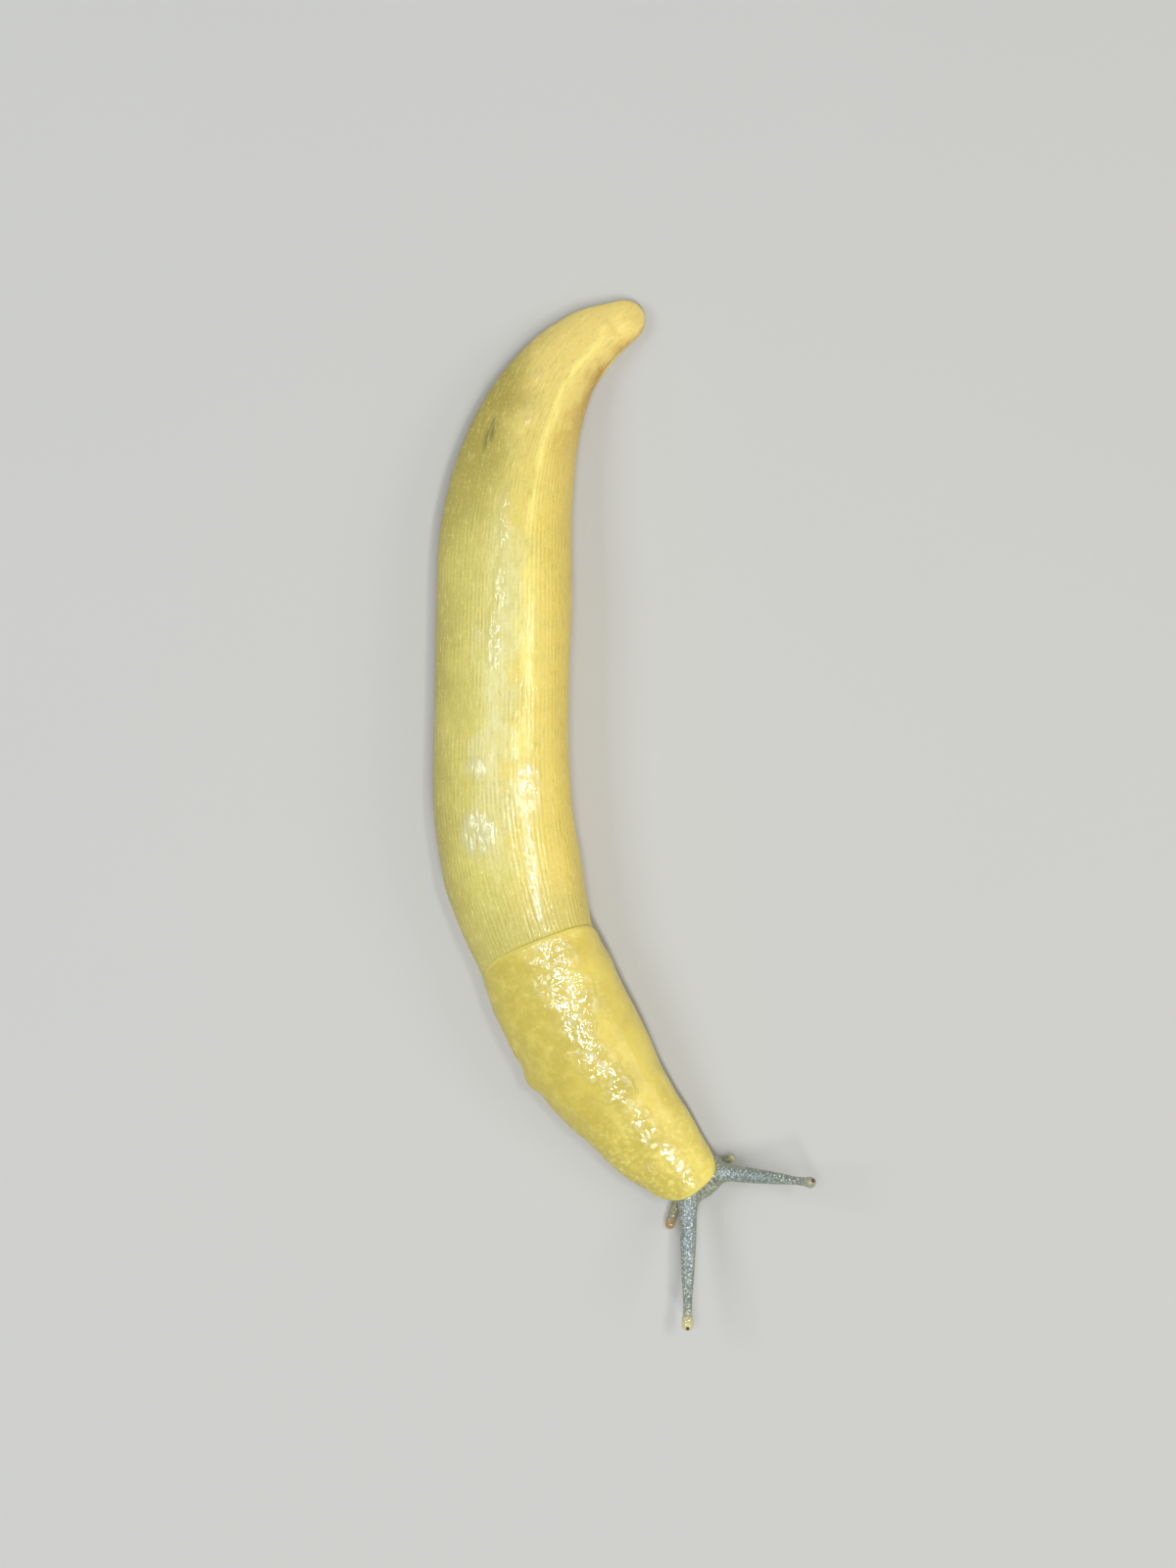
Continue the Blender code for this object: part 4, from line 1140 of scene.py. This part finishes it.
headFinish = {
    "head": (188, 190, 156),
    "neck": (184, 176, 108),
    "under": (146, 152, 130),
    "teal": (170, 182, 180),
    "olive": (164, 168, 126),
    "darkOlive": (118, 126, 106),
    "tip": (212, 202, 146),
    "greyTip": (156, 162, 136),
    "feeler": (142, 134, 92),
    "feelerTip": (180, 138, 78),
    "paleFeelerTip": (214, 208, 130),
    "spot": (160, 104, 50),
    "grain": (236, 244, 248),
    "seamShade": (86, 98, 92),
}


def makeHeadFinish():
    n = Nodes("head_skin_finish", headFinish)
    grain, upper, share = n.mark("grain"), n.mark("upper"), n.mark("share")
    rightSide, place = n.mark("rightSide"), n.mark("place")
    front = n.span(place, 0.1805, 0.188)
    n.colour = n.mix(front, "neck", "head")
    dark = n.span(n.noise(0.0014, 3.0), 0.42, 0.68, 0.0, 0.6)
    n.tint(n.times(dark, front), "under")
    above = n.math("MULTIPLY_ADD", n.noise(0.001), 0.5, upper)
    limb = n.mix(n.span(above, 0.6, 1.1), "olive", "teal")
    leftSide = n.math("SUBTRACT", 1.0, rightSide)
    limb = n.mix(n.times(leftSide, n.span(share, 0.08, 0.4, 0.0, 0.3)), limb, "darkOlive")
    limb = n.mix(n.span(share, 0.3, 0.85, 0.0, 0.45), limb, "olive")
    limb = n.mix(n.span(share, 0.8, 0.93), limb, n.mix(rightSide, "greyTip", "tip"))
    limb = n.mix(n.mark("spot"), limb, "spot")
    n.tint(n.mark("onTentacle"), limb)
    feelerTip = n.mix(rightSide, "paleFeelerTip", "feelerTip")
    n.tint(n.mark("onFeeler"), n.mix(n.span(share, 0.45, 0.9), "feeler", feelerTip))
    beads = n.span(n.cells(0.00052), 0.62, 0.12)
    plain = n.times(
        n.span(share, 0.95, 0.82, 0.12, 1.0),
        n.span(n.mark("onFeeler"), 0.0, 1.0, 1.0, 0.4),
        n.span(place, 0.1805, 0.188, 0.1, 1.0),
    )
    # Painted shade in the seams between the grains and between the beads
    n.tint(n.times(n.span(grain, 0.6, 0.0, 0.0, 0.4), plain), "seamShade")
    n.tint(n.times(n.span(beads, 0.5, 0.0, 0.0, 0.58), plain), "seamShade")
    # Painted glints: the beads turn pale along the line of each tentacle that faces the glint direction
    line = n.span(n.math("MULTIPLY_ADD", rightSide, -0.07, n.mark("paintedGlintLine")), 0.79, 0.92, 0.16, 1.0)
    sparkle = n.span(n.noise(0.0005, 1.0), 0.36, 0.58, 0.25, 0.95)
    pale = n.times(n.span(beads, 0.35, 0.85), n.times(line, sparkle))
    n.tint(n.times(pale, n.mark("onTentacle")), "grain")
    roughness = n.span(n.noise(0.0008), 0.3, 0.7, 0.26, 0.42)
    normal = n.bump(n.noise(0.00022, 2.0), 0.00003, n.bump(beads, 0.00012))
    film = n.bump(beads, 0.00012)
    finish = {"Coat Weight": 1.0, "Coat Roughness": 0.06, "Coat Normal": film, "Subsurface Weight": 0.15}
    return n.finish(roughness, normal, wetSkin | finish)


eyeFinish = {"dark": (40, 28, 16), "brown": (84, 58, 30)}


def makeEyeFinish():
    n = Nodes("eye_finish", eyeFinish)
    n.colour = n.mix(n.span(n.noise(0.0002), 0.35, 0.65), "dark", "brown")
    normal = n.bump(n.noise(0.0004), 0.000005)
    roughness = n.span(n.noise(0.0003), 0.3, 0.7, 0.06, 0.12)
    return n.finish(roughness, normal, {"Coat Weight": 1.0, "Coat Roughness": 0.03})


# Every piece rides on the one body and stands for the solids that it covers
headNodes = ("head", "tentacle_right", "tentacle_left", "feeler_right", "feeler_left")
pieces = (
    (back, makeBackFinish(), "back_skin", ("tail", "back_rear", "back_front", "shoulders")),
    (foot, makeFootFinish(), "foot_skin", ("foot_tail", "foot_rear", "foot_middle", "foot_front")),
    (mantle, makeMantleFinish(), "mantle_skin", ("mantle",)),
    (head, makeHeadFinish(), "head_skin", headNodes),
    (eyes["right"], makeEyeFinish(), "eye", ("eye_right",)),
    (eyes["left"], makeEyeFinish(), "eye", ("eye_left",)),
)
for piece, finish, slot, nodes in pieces:
    piece.data.materials.append(finish)
    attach(piece, "root")
    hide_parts(*nodes)

# The camera looks straight down, and the frame covers 228 by 304 mm at the body's widest level
cameraSettings = {
    "centre": (-0.0071, 0.0063),
    "distance": 1.0,
    "level": 0.007,
    "frameHeight": 0.304,
    "sensor": 36.0,
}


def addCamera():
    s = cameraSettings
    data = bpy.data.cameras.new("camera")
    data.sensor_width = s["sensor"]
    data.lens = s["sensor"] * s["distance"] / s["frameHeight"]
    made = addObject("camera", data)
    made.location = (*s["centre"], s["level"] + s["distance"])
    bpy.context.scene.camera = made


# Soft studio light: two long lamps nearly overhead, a cooler one on the slug's right, a warm one on its
# left, and a pale room
lamps = {  # the place, size, turn about the upright axis, power and colour of each
    "key": ((0.04, -0.34, 1.5), (0.12, 0.98), 30, 13.4, (0.98, 0.99, 1.0)),
    "side": ((0.36, 0.06, 1.45), (0.12, 0.34), 0, 3.6, (0.98, 0.99, 1.0)),
    "fill": ((-0.85, 0.1, 1.05), (0.5, 0.7), 0, 5, (0.84, 0.92, 1.0)),
    "edge": ((0.95, -0.1, 0.75), (0.5, 0.7), 0, 2.2, (1.0, 0.96, 0.9)),
}
room = {"colour": (0.94, 0.96, 1.0, 1), "strength": 0.28, "floor": screen(190, 189, 184), "floorReach": 3.0}


def addLamp(name, place, size, turn, power, colour):
    data = bpy.data.lights.new(name, "AREA")
    data.shape = "RECTANGLE"
    data.size, data.size_y = size
    data.energy, data.color = power, colour
    made = addObject(name, data)
    made.location = place
    turned = Matrix.Rotation(math.radians(turn), 3, "Z") @ Vector((0, 1, 0))
    away = made.location.normalized()
    side = turned.cross(away).normalized()
    made.rotation_euler = Matrix((side, away.cross(side), away)).transposed().to_euler()


def addRoom():
    world = bpy.data.worlds.new("room")
    bpy.context.scene.world = world
    world.use_nodes = True
    inputs = world.node_tree.nodes["Background"].inputs
    inputs["Color"].default_value = room["colour"]
    inputs["Strength"].default_value = room["strength"]
    reach = room["floorReach"]
    mesh = bpy.data.meshes.new("floor")
    corners = [(-reach, -reach, 0), (reach, -reach, 0), (reach, reach, 0), (-reach, reach, 0)]
    mesh.from_pydata(corners, [], [(0, 1, 2, 3)])
    n = Nodes("floor_finish")
    n.colour = room["floor"]
    roughness = n.span(n.noise(0.05), 0, 1, 0.75, 0.85)
    mesh.materials.append(n.finish(roughness, n.bump(n.noise(0.002), 0.00002), {}))
    addObject("floor", mesh)


addCamera()
for name, lamp in lamps.items():
    addLamp(name, *lamp)
addRoom()
bpy.context.scene.view_settings.view_transform = "Standard"
print("stage")
